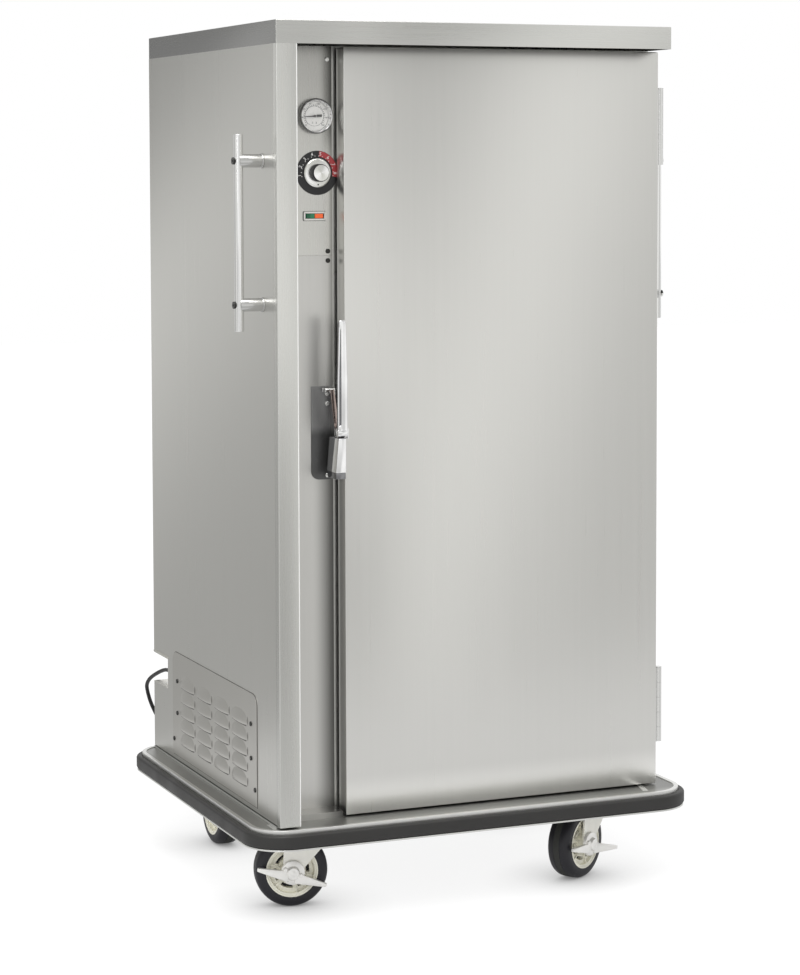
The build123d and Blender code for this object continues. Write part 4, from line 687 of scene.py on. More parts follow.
for name in ("front_left", "front_right", "rear_left", "rear_right"):
    front = name.startswith("front")
    centre, axis = (Vector(joints[name + "_roll"][key]) for key in ("pos_m", "axis"))
    swivel = Vector(joints[name + "_swivel"]["pos_m"]) if front else centre
    trail = (centre.xy - swivel.xy).length
    swing = Matrix.Rotation(math.atan2(-axis.x, axis.y) if front else math.copysign(math.pi / 2, centre.x), 4, "Z")
    spot = Matrix.Translation((swivel.x, swivel.y, 0)) @ swing
    wheel_place = Matrix.Translation(centre) @ swing
    wheel_tyre(name, wheel_place, name + "_wheel")
    wheel_rim(name, wheel_place, name + "_wheel")
    if front:
        fork(name, spot, name + "_caster", trail, plate_top - plate_sheet - race_height - 0.0003, (name + "_fork",))
        brake_pedal(name, spot, name + "_pedal", trail, *pedal_stance[name])
    else:
        fork(name, spot, "cabinet", 0.0, plate_top - plate_sheet, ())
dress(zinc_plate, "rear_forks", "caster_plates")


# Walls. The left, right and rear walls are satin stainless sheet, brushed upright. The
# cap is a folded tray with a fascia all round, and the front left post is a folded channel
# that stands in front of the control recess.
wall_steel = brushed("wall_steel", (0.625, 0.62, 0.592), grain_upright, rough=0.30, contrast=0.04, clouding=0.05)
pocket_steel = brushed("pocket_steel", (0.72, 0.71, 0.66), grain_upright, rough=0.34, contrast=0.03)
# The post's fade is painted shade: darker towards its foot.
post_steel = brushed("post_steel", (0.70, 0.70, 0.672), grain_upright, rough=0.28, contrast=0.04,
                     fades=[("Z", 1.05, 0.65, 0.84)])
# A pale, half metal colour painted on the post's rounded fold is a painted highlight.
bend_highlight = brushed("bend_highlight", (0.92, 0.92, 0.90), grain_upright, rough=0.5, contrast=0.02, metallic=0.3)
# The cap's fade is painted shade: darker towards its left end.
cap_steel = brushed("cap_steel", (0.665, 0.665, 0.64), grain_across, rough=0.28, contrast=0.05,
                    fades=[("X", -0.20, -0.32, 0.86)])
# The much darker steel of the cap's left fascia is painted shade.
fascia_shade = brushed("fascia_shade", (0.325, 0.325, 0.32), grain_along_depth, rough=0.26, contrast=0.05)
dress(wall_steel, "left_side_panel", "right_side_panel", "rear_panel")
dress(pocket_steel, "rear_service_box")
sheet_thickness, sheet_bend = 0.0015, 0.0024


def open_tray(bm, low, high, open_side, width):
    """A tray of sheet with rounded folds, open at the side that a direction points to."""
    tray = block(bm, low, high)
    bm.normal_update()
    open_faces = [f for f in faces_of(tray) if f.normal.dot(Vector(open_side)) > 0.9]
    bmesh.ops.delete(bm, geom=open_faces, context="FACES_ONLY")
    round_edges(bm, [e for e in bm.edges if len(e.link_faces) == 2], width, 4)
    bmesh.ops.solidify(bm, geom=bm.faces[:], thickness=sheet_thickness)


def folded_sheet(bm, outline, low, high, outward):
    """A sheet with the folds of an outline in x and y, whose wall grows away from outward."""
    line = [bm.verts.new((x, y, low)) for x, y in outline]
    edges = [bm.edges.new(pair) for pair in zip(line, line[1:])]
    made = bmesh.ops.extrude_edge_only(bm, edges=edges)["geom"]
    top = [g for g in made if isinstance(g, bmesh.types.BMVert)]
    shift(bm, top, (0, 0, high - low))
    bm.normal_update()
    faces = faces_of(line + top)
    if sum((f.normal * f.calc_area() for f in faces), Vector()).dot(Vector(outward)) < 0:
        bmesh.ops.reverse_faces(bm, faces=faces)
    round_edges(bm, [e for e in edges_of(line + top) if len(e.link_faces) == 2], sheet_bend, 5)
    bmesh.ops.solidify(bm, geom=bm.faces[:], thickness=sheet_thickness)


cap_low, cap_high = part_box("top_cap")
bm = bmesh.new()
open_tray(bm, cap_low, cap_high, (0, 0, -1), 0.0014)
bm.normal_update()
# The left fascia's faces get the painted shade.
paint([f for f in bm.faces if f.normal.x < -0.9 and f.calc_center_median().x < cap_low.x + 0.0001], 1)
piece("cap_tray", bm, "cabinet", [cap_steel, fascia_shade], ("top_cap",), sharp=50)

post_low, post_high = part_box("front_left_post")
post_wrap = 0.015
bm = bmesh.new()
folded_sheet(bm, [(post_low.x, post_low.y + post_wrap), (post_low.x, post_low.y), (post_high.x, post_low.y),
                  (post_high.x, post_high.y)], post_low.z - 0.004, post_high.z, (0, -1, 0))
# The fold's faces at the post's inner edge get the painted highlight.
bm.normal_update()
paint([f for f in bm.faces if f.normal.x > 0.12 and f.normal.y < -0.12
       and f.calc_center_median().x > post_high.x - sheet_bend], 1)
piece("folded_post", bm, "cabinet", [post_steel, bend_highlight], ("front_left_post",), sharp=50)

pocket_low, pocket_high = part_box("rear_service_box")
ledge_out, ledge_drop = 0.0012, 0.0035
bm = bmesh.new()
block(bm, (pocket_low.x - ledge_out, pocket_low.y, pocket_high.z - 0.0005),
      (pocket_low.x + 0.0005, pocket_high.y - 0.001, pocket_high.z + ledge_drop), 0.0004)
piece("pocket_ledge", bm, "cabinet", pocket_steel)


# Control recess. The upper panel carries the controls. The lower one is set back beside
# the latch and ends in a folded sill. Both are stainless sheet, darker than the walls by
# painted shade and painted reflection: darker near the door's edge and under the cap.
panel_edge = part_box("control_panel")[1].x
# The fades of both panels are painted shade and painted reflection of the door's edge and the cap.
panel_steel = brushed("panel_steel", (0.64, 0.635, 0.605), grain_upright, rough=0.28, contrast=0.035,
                      fades=[("X", panel_edge - 0.024, panel_edge - 0.003, ("Z", 1.27, 1.36, 0.36)),
                             ("X", panel_edge - 0.008, panel_edge, 0.55), ("Z", 1.30, 1.44, 0.86)])
recess_steel = brushed("recess_steel", (0.61, 0.603, 0.582), grain_upright, rough=0.30, contrast=0.05,
                       fades=[("X", panel_edge - 0.040, panel_edge - 0.004, ("Z", 0.98, 0.82, 0.38)),
                              ("X", panel_edge - 0.010, panel_edge, 0.6)])
dress(panel_steel, "control_panel")
dress(recess_steel, "recess_panel")
bright_steel = brushed("bright_steel", (0.78, 0.78, 0.77), grain_upright, rough=0.18, contrast=0.03)
chrome = speckled("chrome", (0.93, 0.93, 0.935), rough=(0.06, 0.14), metallic=1.0, scale=500, bump=0.01)
seam_reach = 0.08


def screw_tones():
    """Screws near white in the recess, and near black beside its seam and on the left wall."""
    made, tree, shader = new_material("screw_tones")
    inner = calc(tree, "GREATER_THAN", place_on(tree, "X"), wall_low.x + 0.0005)
    off_seam = calc(tree, "ABSOLUTE", calc(tree, "SUBTRACT", place_on(tree, "Z"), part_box("control_panel")[0].z))
    bright = calc(tree, "MULTIPLY", inner, calc(tree, "GREATER_THAN", off_seam, seam_reach))
    feed(tree, shader, {"Base Color": ramp(tree, bright, [(0.0, (0.05, 0.05, 0.048)), (1.0, (0.82, 0.82, 0.80))]),
                        "Metallic": 1.0, "Roughness": 0.26})
    return made


dress(screw_tones(), "screws")


# Thermometer. A turned chrome case with a rolled bezel, a white dial with a printed scale,
# a black pointer with a counterweight, and a clear lens.
dial_white = speckled("dial_white", (0.93, 0.92, 0.89), rough=(0.4, 0.5), scale=900, bump=0.02)
print_black = speckled("print_black", (0.02, 0.02, 0.02), rough=(0.4, 0.5), scale=900, bump=0.02)
lens_clear, tree, shader = new_material("lens_clear")
feed(tree, shader, {"Alpha": 0.06, "Roughness": 0.04})
thermometer_low, thermometer_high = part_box("thermometer_case")
dial_low, dial_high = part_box("thermometer_dial")
tx, tz = (dial_low.x + dial_high.x) / 2, (dial_low.z + dial_high.z) / 2
case_radius, can_radius = (thermometer_high.x - thermometer_low.x) / 2, 0.0269
scale_start, scale_sweep, scale_marks, scale_numbers = 225.0, 270.0, 28, 8


def on_circle(centre, radius, degrees):
    """A point on a circle in the front view, from three o'clock upwards."""
    angle = math.radians(degrees)
    return centre[0] + radius * math.cos(angle), centre[1] + radius * math.sin(angle)


def digits(bm, text, centre, height, face_y, turn=0.0):
    """Printed number, centred on a point, raised a hair from the plate that carries it."""
    curve = bpy.data.curves.new("digits", "FONT")
    curve.body, curve.size, curve.align_x, curve.align_y = text, height, "CENTER", "CENTER"
    curve.extrude, curve.resolution_u = 0.00008, 2
    carrier = bpy.data.objects.new("digits", curve)
    printed = bpy.data.meshes.new_from_object(carrier)
    before = set(bm.verts)
    bm.from_mesh(printed)
    fresh = added(bm.verts, before)
    rotate(bm, fresh, 90, "X")
    rotate(bm, fresh, turn)
    shift(bm, fresh, (centre[0], face_y, centre[1]))
    bpy.data.objects.remove(carrier)
    bpy.data.meshes.remove(printed)
    bpy.data.curves.remove(curve)


def scale_mark(bm, centre, angle, inner, outer, width, face_y):
    """One printed mark of a round scale, at an angle from three o'clock upwards."""
    mark = block(bm, (inner, face_y - 0.00008, -width / 2), (outer, face_y + 0.0001, width / 2))
    rotate(bm, mark, -angle)
    shift(bm, mark, (centre[0], 0, centre[1]))


front, back, wall = thermometer_low.y, thermometer_high.y, dial_low.y
# The bezel's chrome is painted shade over most of the ring and a painted highlight at its right side.
bezel_chrome = brushed("bezel_chrome", (0.78, 0.78, 0.78), grain_upright, rough=0.16, contrast=0.03,
                       fades=[("X", tx + case_radius, tx + case_radius * 0.45, 0.26)])
bezel_inside, can_sheet, can_hole = case_radius - 0.0026, 0.0014, 0.0014
bm = bmesh.new()
turned(bm, [(wall - 0.0001, can_radius - 0.0012), (front + 0.0022, case_radius - 0.0032),
            (front + 0.0006, case_radius - 0.0027), (front, case_radius - 0.0017),
            (front + 0.0005, case_radius - 0.0006), (front + 0.0016, case_radius), (wall - 0.0012, case_radius),
            (wall, case_radius - 0.0008), (wall, can_radius), (back - 0.001, can_radius), (back, can_radius - 0.001),
            (back, can_hole), (back - 0.0015, can_hole), (back - 0.0015, can_radius - can_sheet),
            (wall + 0.0012, can_radius - can_sheet)], 72, (tx, 0, tz))
# The inner lip is painted in bright chrome, a painted highlight.
for face in bm.faces:
    middle = face.calc_center_median()
    if middle.y < wall and math.hypot(middle.x - tx, middle.z - tz) < bezel_inside:
        face.material_index = 1
piece("thermometer_bezel", bm, "cabinet", [bezel_chrome, chrome], ("thermometer_case",), sharp=40)

mark_inner, mark_width, arc_inner, arc_outer = 0.0172, 0.0008, 0.0166, 0.0171
dial_number_radius, dial_number_size = 0.0218, 0.0042
bm = bmesh.new()
pin(bm, (tx, tz), wall, dial_high.y, (dial_high.x - dial_low.x) / 2, segments=72, width=0.0002, steps=1)
before = set(bm.faces)
for i in range(scale_marks):
    angle = scale_start - scale_sweep * i / (scale_marks - 1)
    scale_mark(bm, (tx, tz), angle, mark_inner, 0.0200 if i % 4 else 0.0188, mark_width, wall)
turned(bm, [(wall, arc_inner), (wall - 0.0001, arc_inner), (wall - 0.0001, arc_outer), (wall, arc_outer)],
       72, (tx, 0, tz))
for i in range(scale_numbers):
    angle = scale_start - scale_sweep * i / (scale_numbers - 1)
    digits(bm, str(20 * i + 20), on_circle((tx, tz), dial_number_radius, angle), dial_number_size, wall)
for side in (-1, 1):
    digits(bm, "0", (tx + side * 0.0035, tz - 0.0115), 0.0050, wall)
paint(added(bm.faces, before), 1)
piece("thermometer_face", bm, "cabinet", [dial_white, print_black], ("thermometer_dial",))

needle_low, needle_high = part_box("thermometer_needle")
needle_length, needle_half, tail_half, needle_turn = 0.020, 0.0013, 0.0020, -4
ny, needle_back = needle_low.y + 0.0004, needle_low.y + 0.0010
bm = bmesh.new()
point = block(bm, (tx - needle_length, ny, tz - needle_half), (tx, needle_back, tz + needle_half))
bmesh.ops.scale(bm, vec=(1, 1, 0.3), space=Matrix.Translation((0, 0, -tz)),
                verts=[v for v in point if v.co.x < tx - needle_length / 2])
block(bm, (tx + 0.0035, ny - 0.0001, tz - tail_half), (tx + 0.0130, needle_back, tz + tail_half), 0.00025, 1)
block(bm, (tx, ny, tz - 0.0005), (tx + 0.0040, ny + 0.0005, tz + 0.0005))
pin(bm, (tx, tz), needle_low.y, needle_back, 0.0022, segments=32, width=0.0003)
pin(bm, (tx, tz), ny, needle_high.y, 0.0012, segments=24)
rotate(bm, bm.verts, needle_turn, centre=(tx, 0, tz))
piece("thermometer_pointer", bm, "thermometer_needle", print_black, ("thermometer_needle",))

lens_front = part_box("thermometer_lens")[0].y
bm = bmesh.new()
pin(bm, (tx, tz), lens_front, lens_front + 0.0010, 0.0262, segments=72, width=0.0004, steps=3)
piece("thermometer_glass", bm, "cabinet", lens_clear, ("thermometer_lens",))


# Thermostat. A black round scale plate with white numbers and a red band, and a skirted
# knob with a knurled black grip, a bright skirt and a turned bright cap.
scale_red = speckled("scale_red", (0.42, 0.045, 0.05), rough=(0.35, 0.45), scale=900, bump=0.02)
print_white = speckled("print_white", (0.88, 0.87, 0.85), rough=(0.4, 0.5), scale=900, bump=0.02)
plate_low, plate_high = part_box("thermostat_dial")
kx, kz = (plate_low.x + plate_high.x) / 2, (plate_low.z + plate_high.z) / 2
plate_radius, number_radius, number_size = (plate_high.x - plate_low.x) / 2, 0.0322, 0.0084
red_start, red_sweep, red_inner = 84.0, 96.0, 0.0274


def spun_silver():
    """Turned aluminium with a painted sheen: bright and dark sectors opposite each other, painted by the angle about
    the knob.
    """
    made, tree, shader = new_material("spun_silver")
    across, above = calc(tree, "SUBTRACT", place_on(tree, "X"), kx), calc(tree, "SUBTRACT", place_on(tree, "Z"), kz)
    double = calc(tree, "MULTIPLY_ADD", calc(tree, "ARCTAN2", above, across), 2.0, 0.6)
    share = calc(tree, "MULTIPLY_ADD", calc(tree, "SINE", double), 0.5, 0.5)
    feed(tree, shader, {"Base Color": ramp(tree, share, [(0.0, (0.74, 0.74, 0.70)), (1.0, (0.97, 0.97, 0.96))]),
                        "Metallic": 1.0, "Roughness": 0.24})
    return made


knob_silver = spun_silver()
face, raised, rounding = plate_low.y, plate_low.y - 0.0001, 0.0003
bore_radius, red_outer, number_start = 0.0061, plate_radius - 0.0004, 188.0
number_count, number_step, half_mark = 8, 27.0, 4.5
bm = bmesh.new()
turned(bm, [(plate_high.y, bore_radius), (plate_high.y, plate_radius), (face + rounding, plate_radius),
            (face, plate_radius - rounding), (face, bore_radius)], 96, (kx, 0, kz))
before = set(bm.faces)
arc = [bm.verts.new((kx + r, y, kz)) for y, r in ((face, red_inner), (face, red_outer), (raised, red_outer),
                                                  (raised, red_inner))]
arc_edges = [bm.edges.new(pair) for pair in zip(arc, arc[1:] + arc[:1])]
rotate(bm, arc, -red_start, centre=(kx, 0, kz))
bmesh.ops.contextual_create(bm, geom=arc_edges)
bmesh.ops.spin(bm, geom=arc + arc_edges, cent=(kx, 0, kz), axis=(0, 1, 0), dvec=(0, 0, 0),
               angle=math.radians(red_sweep), steps=24)
paint(added(bm.faces, before), 2)
before = set(bm.faces)
for i in range(number_count):
    angle = number_start - number_step * i
    digits(bm, str(i + 1), on_circle((kx, kz), number_radius, angle), number_size, raised, turn=90 - angle)
    for half in (-2 * half_mark, half_mark):
        scale_mark(bm, (kx, kz), angle + half, 0.0280, 0.0296, 0.0009, raised)
paint(added(bm.faces, before), 1)
piece("thermostat_scale", bm, "cabinet", [black_plastic, print_white, scale_red],
      ("thermostat_dial",))

knob_low, knob_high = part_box("thermostat_knob")
skirt_radius, grip_radius, cap_radius, skirt_height, shaft_radius = 0.0245, 0.0150, 0.0136, 0.0035, 0.0031
rib_count, rib_depth, rib_half, dot_drop = 36, 0.0012, 0.00045, 0.0200
skirt_back, grip_face = plate_low.y - 0.0005, knob_low.y
skirt_face = skirt_back - skirt_height
bm = bmesh.new()
turned(bm, [(skirt_back, shaft_radius), (skirt_back, skirt_radius), (skirt_face + 0.0018, skirt_radius),
            (skirt_face + 0.0004, skirt_radius - 0.0016), (skirt_face, skirt_radius - 0.0030),
            (skirt_face, grip_radius - 0.001), (skirt_face, shaft_radius)], 72, (kx, 0, kz))
pin(bm, (kx, kz), grip_face + 0.0006, grip_face, cap_radius, segments=64, width=0.0003)
before = set(bm.faces)
pin(bm, (kx, kz), skirt_face + 0.0005, grip_face + 0.0003, grip_radius - 0.0007, segments=72, width=0.0004)
for i in range(rib_count):
    kept = set(bm.verts)
    rib = block(bm, (grip_radius - rib_depth, grip_face + 0.0009, -rib_half),
                (grip_radius, skirt_face - 0.0006, rib_half))
    crest = [v for v in rib if v.co.x > grip_radius - rib_depth / 2]
    round_edges(bm, edges_of(crest), 0.0002, 1)
    rib = added(bm.verts, kept)
    rotate(bm, rib, i * 360 / rib_count)
    shift(bm, rib, (kx, 0, kz))
pin(bm, (kx, kz - dot_drop), skirt_face + 0.0002, skirt_face - 0.0003, 0.0014, segments=20, width=0.0002, steps=1)
pin(bm, (kx, kz), skirt_back - 0.001, knob_high.y, 0.0030, segments=32)
paint(added(bm.faces, before), 1)
piece("thermostat_grip", bm, "thermostat_knob", [knob_silver, black_plastic], ("thermostat_knob",))


# Indicator. A satin bezel with rounded corners on a dark backing, and two neon lamps with
# ribbed coloured lenses, green on the left and red on the right.
def lamp_glow(name, colour, glow, shade_fade):
    """Tinted lens of a lit neon lamp, with fine upright ribs, and painted shade that darkens it along X."""
    made, tree, shader = new_material(name)
    wave = calc(tree, "SINE", calc(tree, "MULTIPLY", place_on(tree, "X"), 4200.0))
    toned = multiply(tree, colour, map_range(tree, wave, 0.8, 1.1, -1.0))
    feed(tree, shader, {"Base Color": multiply(tree, toned, fade(tree, "X", *shade_fade)),
                        "Normal": bumped(tree, wave, 0.3, 0.0003), "Emission Color": (*glow, 1),
                        "Emission Strength": 0.25, "Roughness": 0.22})
    return made


bezel_low, bezel_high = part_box("indicator_bezel")
bezel_width, bezel_outline = 0.0030, 0.0008
bezel_steel = speckled("bezel_steel", (0.72, 0.71, 0.68), rough=(0.28, 0.36), metallic=1.0, scale=700, bump=0.02)
bm = bmesh.new()
before = set(bm.faces)
round_edges(bm, edges_along(block(bm, bezel_low, bezel_high), 1), 0.002, 4)
hollow(bm, before, 1, bezel_width)
before = set(bm.faces)
rim = Vector((bezel_outline, 0, bezel_outline))
backing = block(bm, (bezel_low.x - rim.x, bezel_high.y - 0.0006, bezel_low.z - rim.z), bezel_high + rim)
round_edges(bm, edges_along(backing, 1), 0.0024, 4)
paint(added(bm.faces, before), 1)
piece("indicator_frame", bm, "cabinet", [bezel_steel, black_plastic], ("indicator_bezel",))
for name, tint, colour, glow in (("lamp_green", "green_lamp", (0.02, 0.17, 0.08), (0.0, 0.12, 0.05)),
                                 ("lamp_red", "red_lamp", (0.72, 0.12, 0.03), (0.9, 0.12, 0.02))):
    low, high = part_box(name)
    bm = bmesh.new()
    lens = block(bm, (low.x, bezel_low.y - 0.0004, low.z), high)
    round_edges(bm, [e for e in edges_of(lens) if e.verts[0].co.y + e.verts[1].co.y < 2 * bezel_low.y], 0.0006, 3)
    # The green lens gets painted shade, darker towards its left edge. The red one gets none.
    shade_fade = (low.x + 0.009, low.x + 0.005, 0.4 if name == "lamp_green" else 1.0)
    piece(name + "_lens", bm, "cabinet", lamp_glow(name + "_tint", colour, glow, shade_fade), (name,))


# Interior. The cavity is lined with plain bright stainless sheet. Mineral wool fills the
# space behind it, and zinc plated wire shelves hang on four slotted uprights.
lining_steel = brushed("lining_steel", (0.58, 0.58, 0.57), grain_across, rough=0.32, contrast=0.06)
shelf_wire = speckled("shelf_wire", (0.62, 0.62, 0.60), rough=(0.22, 0.34), metallic=1.0, scale=700, bump=0.03)
frame_steel = brushed("frame_steel", (0.60, 0.60, 0.58), grain_across, rough=0.30)
mineral_wool = speckled("mineral_wool", (0.44, 0.38, 0.22), rough=(0.85, 0.98), scale=180, bump=0.9)
motor_grey = speckled("motor_grey", (0.10, 0.10, 0.10), rough=(0.4, 0.55), scale=600, bump=0.1)
heater_sheath = speckled("heater_sheath", (0.10, 0.085, 0.07), rough=(0.4, 0.6), metallic=0.8, scale=500, bump=0.1)
dress(lining_steel, "cavity_liner", "door_liner", "shelf_uprights", "blower_housing")
dress(frame_steel, "door_frame")
dress(shelf_wire, "shelves", "blower_wheel")
dress(mineral_wool, "insulation", "door_insulation")
dress(motor_grey, "blower_motor", "thermostat_body")
dress(heater_sheath, "heater_element")


# Door. A folded pan of satin stainless sheet, brushed upright, over an inner pan with
# insulation between them. A grey silicone gasket runs round the inner pan.
# The door's fade is painted light: the skin grows brighter towards its foot.
door_steel = brushed("door_steel", (0.72, 0.715, 0.69), grain_upright, rough=0.30, contrast=0.035, clouding=0.05,
                     fades=[("Z", 0.236, 0.186, 1.24)])
gasket_silicone = speckled("gasket_silicone", (0.16, 0.16, 0.165), rough=(0.5, 0.7), scale=800, bump=0.1)
dress(gasket_silicone, "door_gasket")
bm = bmesh.new()
open_tray(bm, *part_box("door_skin"), (0, 1, 0), 0.0018)
piece("door_pan", bm, "door", door_steel, ("door_skin",), sharp=50)


# Latch. A cast and chromed pull lever on a pin, over a chromed case on the door's edge. A
# thin spring strap leans behind the lever, and a flange holds both to the door.
strap_steel = speckled("strap_steel", (0.42, 0.34, 0.31), rough=(0.2, 0.3), metallic=1.0, scale=600, bump=0.02)
# A dark copy of the chrome, as painted shade on the lever's back plate and on the case's dark blocks.
chrome_painted_shade = speckled("chrome_painted_shade", (0.26, 0.26, 0.27), rough=(0.10, 0.18), metallic=1.0, scale=500, bump=0.01)
lever_low, lever_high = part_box("latch_lever")
pivot = Vector(joints["latch_pivot"]["pos_m"])
lever_depth, lever_back, knuckle_radius = 0.0070, 0.0034, 0.0080
left, right, front, top = lever_low.x, lever_high.x, lever_low.y, lever_high.z
mid, waist = (left + right) / 2, pivot.z + 0.45 * (top - pivot.z)
tip, tip_cut, ridge, bead = 0.0065, 0.004, 0.0062, 0.0016
bm = bmesh.new()
# The back plate takes the dark chrome: painted shade round the lever's sides.
back_plate = upright_plate(bm, [(left, pivot.z), (right, pivot.z), (right, waist), (mid + tip, top - 0.005),
                                (mid + tip - tip_cut, top), (mid - tip + tip_cut, top), (mid - tip, top - 0.005),
                                (left, waist)], front + lever_back, front + lever_depth)
round_edges(bm, edges_of(back_plate), 0.0010, 2)
before = set(bm.faces)
broad = upright_plate(bm, [(left + ridge, pivot.z + 0.006), (right - 0.0002, pivot.z + 0.002), (right - 0.0002, waist),
                           (mid + tip - 0.0002, top - 0.006), (mid + tip - tip_cut, top - 0.001),
                           (mid - 0.0015, top - 0.001), (mid - 0.0030, top - 0.010), (left + ridge, waist)],
                      front, front + lever_back + 0.0006)
round_edges(bm, edges_of(broad), 0.0016, 4)
for x0, z0, x1, z1 in ((left, pivot.z + 0.006, left, waist), (left, waist, mid - tip, top - 0.012)):
    bar(bm, (x0 + bead, front + 0.0022, z0), (x1 + bead, front + 0.0022, z1), bead, segments=20)
block(bm, (mid - tip + 0.0004, front + 0.0002, top - 0.016),
      (mid + tip - 0.0004, front + lever_back + 0.001, top - 0.0003), 0.0024, 4)
bar(bm, (left, pivot.y, pivot.z), (right, pivot.y, pivot.z), knuckle_radius, width=0.0012, steps=3)
pin(bm, (left + 0.006, pivot.z + 0.008), front + 0.0006, front + 0.004, 0.0048, segments=32, width=0.0012, steps=3)
paint(added(bm.faces, before), 1)
piece("latch_pull", bm, "latch_lever", [chrome_painted_shade, chrome], ("latch_lever",), sharp=32)

body_low, body_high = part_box("latch_body")
case_low, case_foot, case_top = 0.7475, 0.7585, 0.8170
case_left, case_right, cheek_right, case_lean = -0.2575, -0.2385, -0.2325, 0.0050
case_front, case_back = body_low.y, body_low.y + 0.044
flange_sheet, flange_front, flange_back = 0.002, -0.3000, -0.2720
strap_thickness, strap_width, strap_lean, strap_x, strap_sunk = 0.0014, 0.0075, -7, -0.2405, 0.006
bm = bmesh.new()
case = block(bm, (case_left, case_front, case_foot), (case_right, case_back, case_top))
shift(bm, [v for v in case if v.co.z > case_top - 0.001 and v.co.x < case_left + 0.001], (case_lean, 0, 0))
round_edges(bm, edges_of(case), 0.0014, 3)
block(bm, (right + 0.0005, pivot.y - 0.004, case_top - 0.002), (cheek_right, case_back, pivot.z + 0.008), 0.0008)
bar(bm, (left - 0.0006, pivot.y, pivot.z), (cheek_right, pivot.y, pivot.z), 0.0030, segments=32, width=0.0005)
block(bm, (case_right - 0.002, case_front + 0.027, case_foot + 0.002),
      (cheek_right, case_back - 0.001, pivot.z), 0.0008)
# The block under the case and the strip along its top are painted shade and a painted shadow line.
before = set(bm.faces)
block(bm, (case_left + 0.0010, case_front + 0.0025, case_low),
      (case_right - 0.0002, case_back - 0.002, case_foot + 0.0006), 0.0012)
block(bm, (case_left + case_lean + 0.0008, case_front + 0.0004, case_top - 0.0014),
      (case_right - 0.0004, case_front + 0.030, case_top + 0.0008), 0.0003, 1)
paint(added(bm.faces, before), 1)
before = set(bm.faces)
block(bm, (body_high.x - flange_sheet, flange_front, body_low.z), (body_high.x, flange_back, body_high.z), 0.0006)
paint(added(bm.faces, before), 2)
before, kept = set(bm.faces), set(bm.verts)
block(bm, (-strap_width / 2, -strap_thickness / 2, 0),
      (strap_width / 2, strap_thickness / 2, body_high.z - case_top + strap_sunk), 0.0005)
strap = added(bm.verts, kept)
rotate(bm, strap, strap_lean)
shift(bm, strap, (strap_x, case_back - 0.011, case_top - strap_sunk))
paint(added(bm.faces, before), 3)
piece("latch_case", bm, "door", [chrome, chrome_painted_shade, bright_steel, strap_steel], ("latch_body",),
      sharp=32)


# Strike. A polished plate with a rounded foot in the recess, with a standing edge that the
# latch closes on, a small roller at its top, and three screws.
# The strike's dark base, heavy clouding and darker foot are painted reflection of the dark latch and lever.
strike_mirror = brushed("strike_mirror", (0.30, 0.30, 0.30), grain_upright, rough=0.42, contrast=0.08, clouding=0.35,
                        metallic=0.85, fades=[("Z", 0.835, 0.815, 0.40)])
strike_low, strike_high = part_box("latch_strike")
strike_corner, strike_sheet, fin_end = 0.0140, 0.0015, 0.004
edge, plate_front, roller_z = strike_high.x, strike_high.y - strike_sheet, strike_high.z - 0.006
bm = bmesh.new()
plate = upright_plate(bm, [(strike_low.x, strike_low.z), (edge, strike_low.z), (edge, strike_high.z),
                           (strike_low.x, strike_high.z)], plate_front, strike_high.y - 0.00005)
round_edges(bm, [e for e in edges_along(plate, 1) if e.verts[0].co.x < strike_low.x + 0.001
                 and e.verts[0].co.z < strike_low.z + 0.001], strike_corner, 8)
before = set(bm.faces)
block(bm, (edge - strike_sheet, strike_low.y, strike_low.z + fin_end), (edge, plate_front, strike_high.z - fin_end),
      0.0003, 1)
bm.normal_update()
fin_sides = [f for f in added(bm.faces, before) if abs(f.normal.x) > 0.9]
bar(bm, (edge - 0.019, strike_low.y + 0.001, roller_z), (edge - 0.001, strike_low.y + 0.001, roller_z), 0.0042,
    segments=32, width=0.0010, steps=3)
for y in (strike_low.y + 0.006, strike_low.y + 0.014):
    block(bm, (edge - 0.018, y, roller_z - 0.003), (edge - 0.001, y + 0.0016, roller_z + 0.003), 0.0005)
paint(added(bm.faces, before), 1)
# The fin's sides keep the painted reflection.
paint(fin_sides, 0)
piece("strike_plate", bm, "cabinet", [strike_mirror, bright_steel], ("latch_strike",), sharp=40)


# Hinges and push handles. The hinges are bright stainless, on the right edge. Each push
# handle is a polished bar on two round posts, bolted through the side wall.
handle_polish = brushed("handle_polish", (0.84, 0.84, 0.83), grain_upright, rough=0.14, contrast=0.02)
post_polish = brushed("post_polish", (0.58, 0.58, 0.57), grain_across, rough=0.20, contrast=0.05)
dress(bright_steel, "hinge_door_leaves", "hinge_frame_leaves")
handle_low, handle_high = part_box("push_handles")
bar_radius, post_radius, collar_radius = 0.008, 0.011, 0.0125
handle_places, handle_levels = ((-1, -0.279), (1, -0.220)), (1.0435, 1.2845)
bm = bmesh.new()
for way, y in handle_places:
    wall = way * abs(wall_low.x)
    x = (handle_low.x + bar_radius) if way < 0 else (handle_high.x - bar_radius)
    bar(bm, (x, y, handle_low.z), (x, y, handle_high.z), bar_radius, width=0.0009, steps=3)
    before = set(bm.faces)
    for z in handle_levels:
        bar(bm, (wall, y, z), (x, y, z), post_radius, width=0.0006)
        bar(bm, (wall, y, z), (wall + way * 0.0025, y, z), collar_radius, width=0.0006)
    paint(added(bm.faces, before), 1)
piece("push_bars", bm, "cabinet", [handle_polish, post_polish], ("push_handles",), sharp=40)


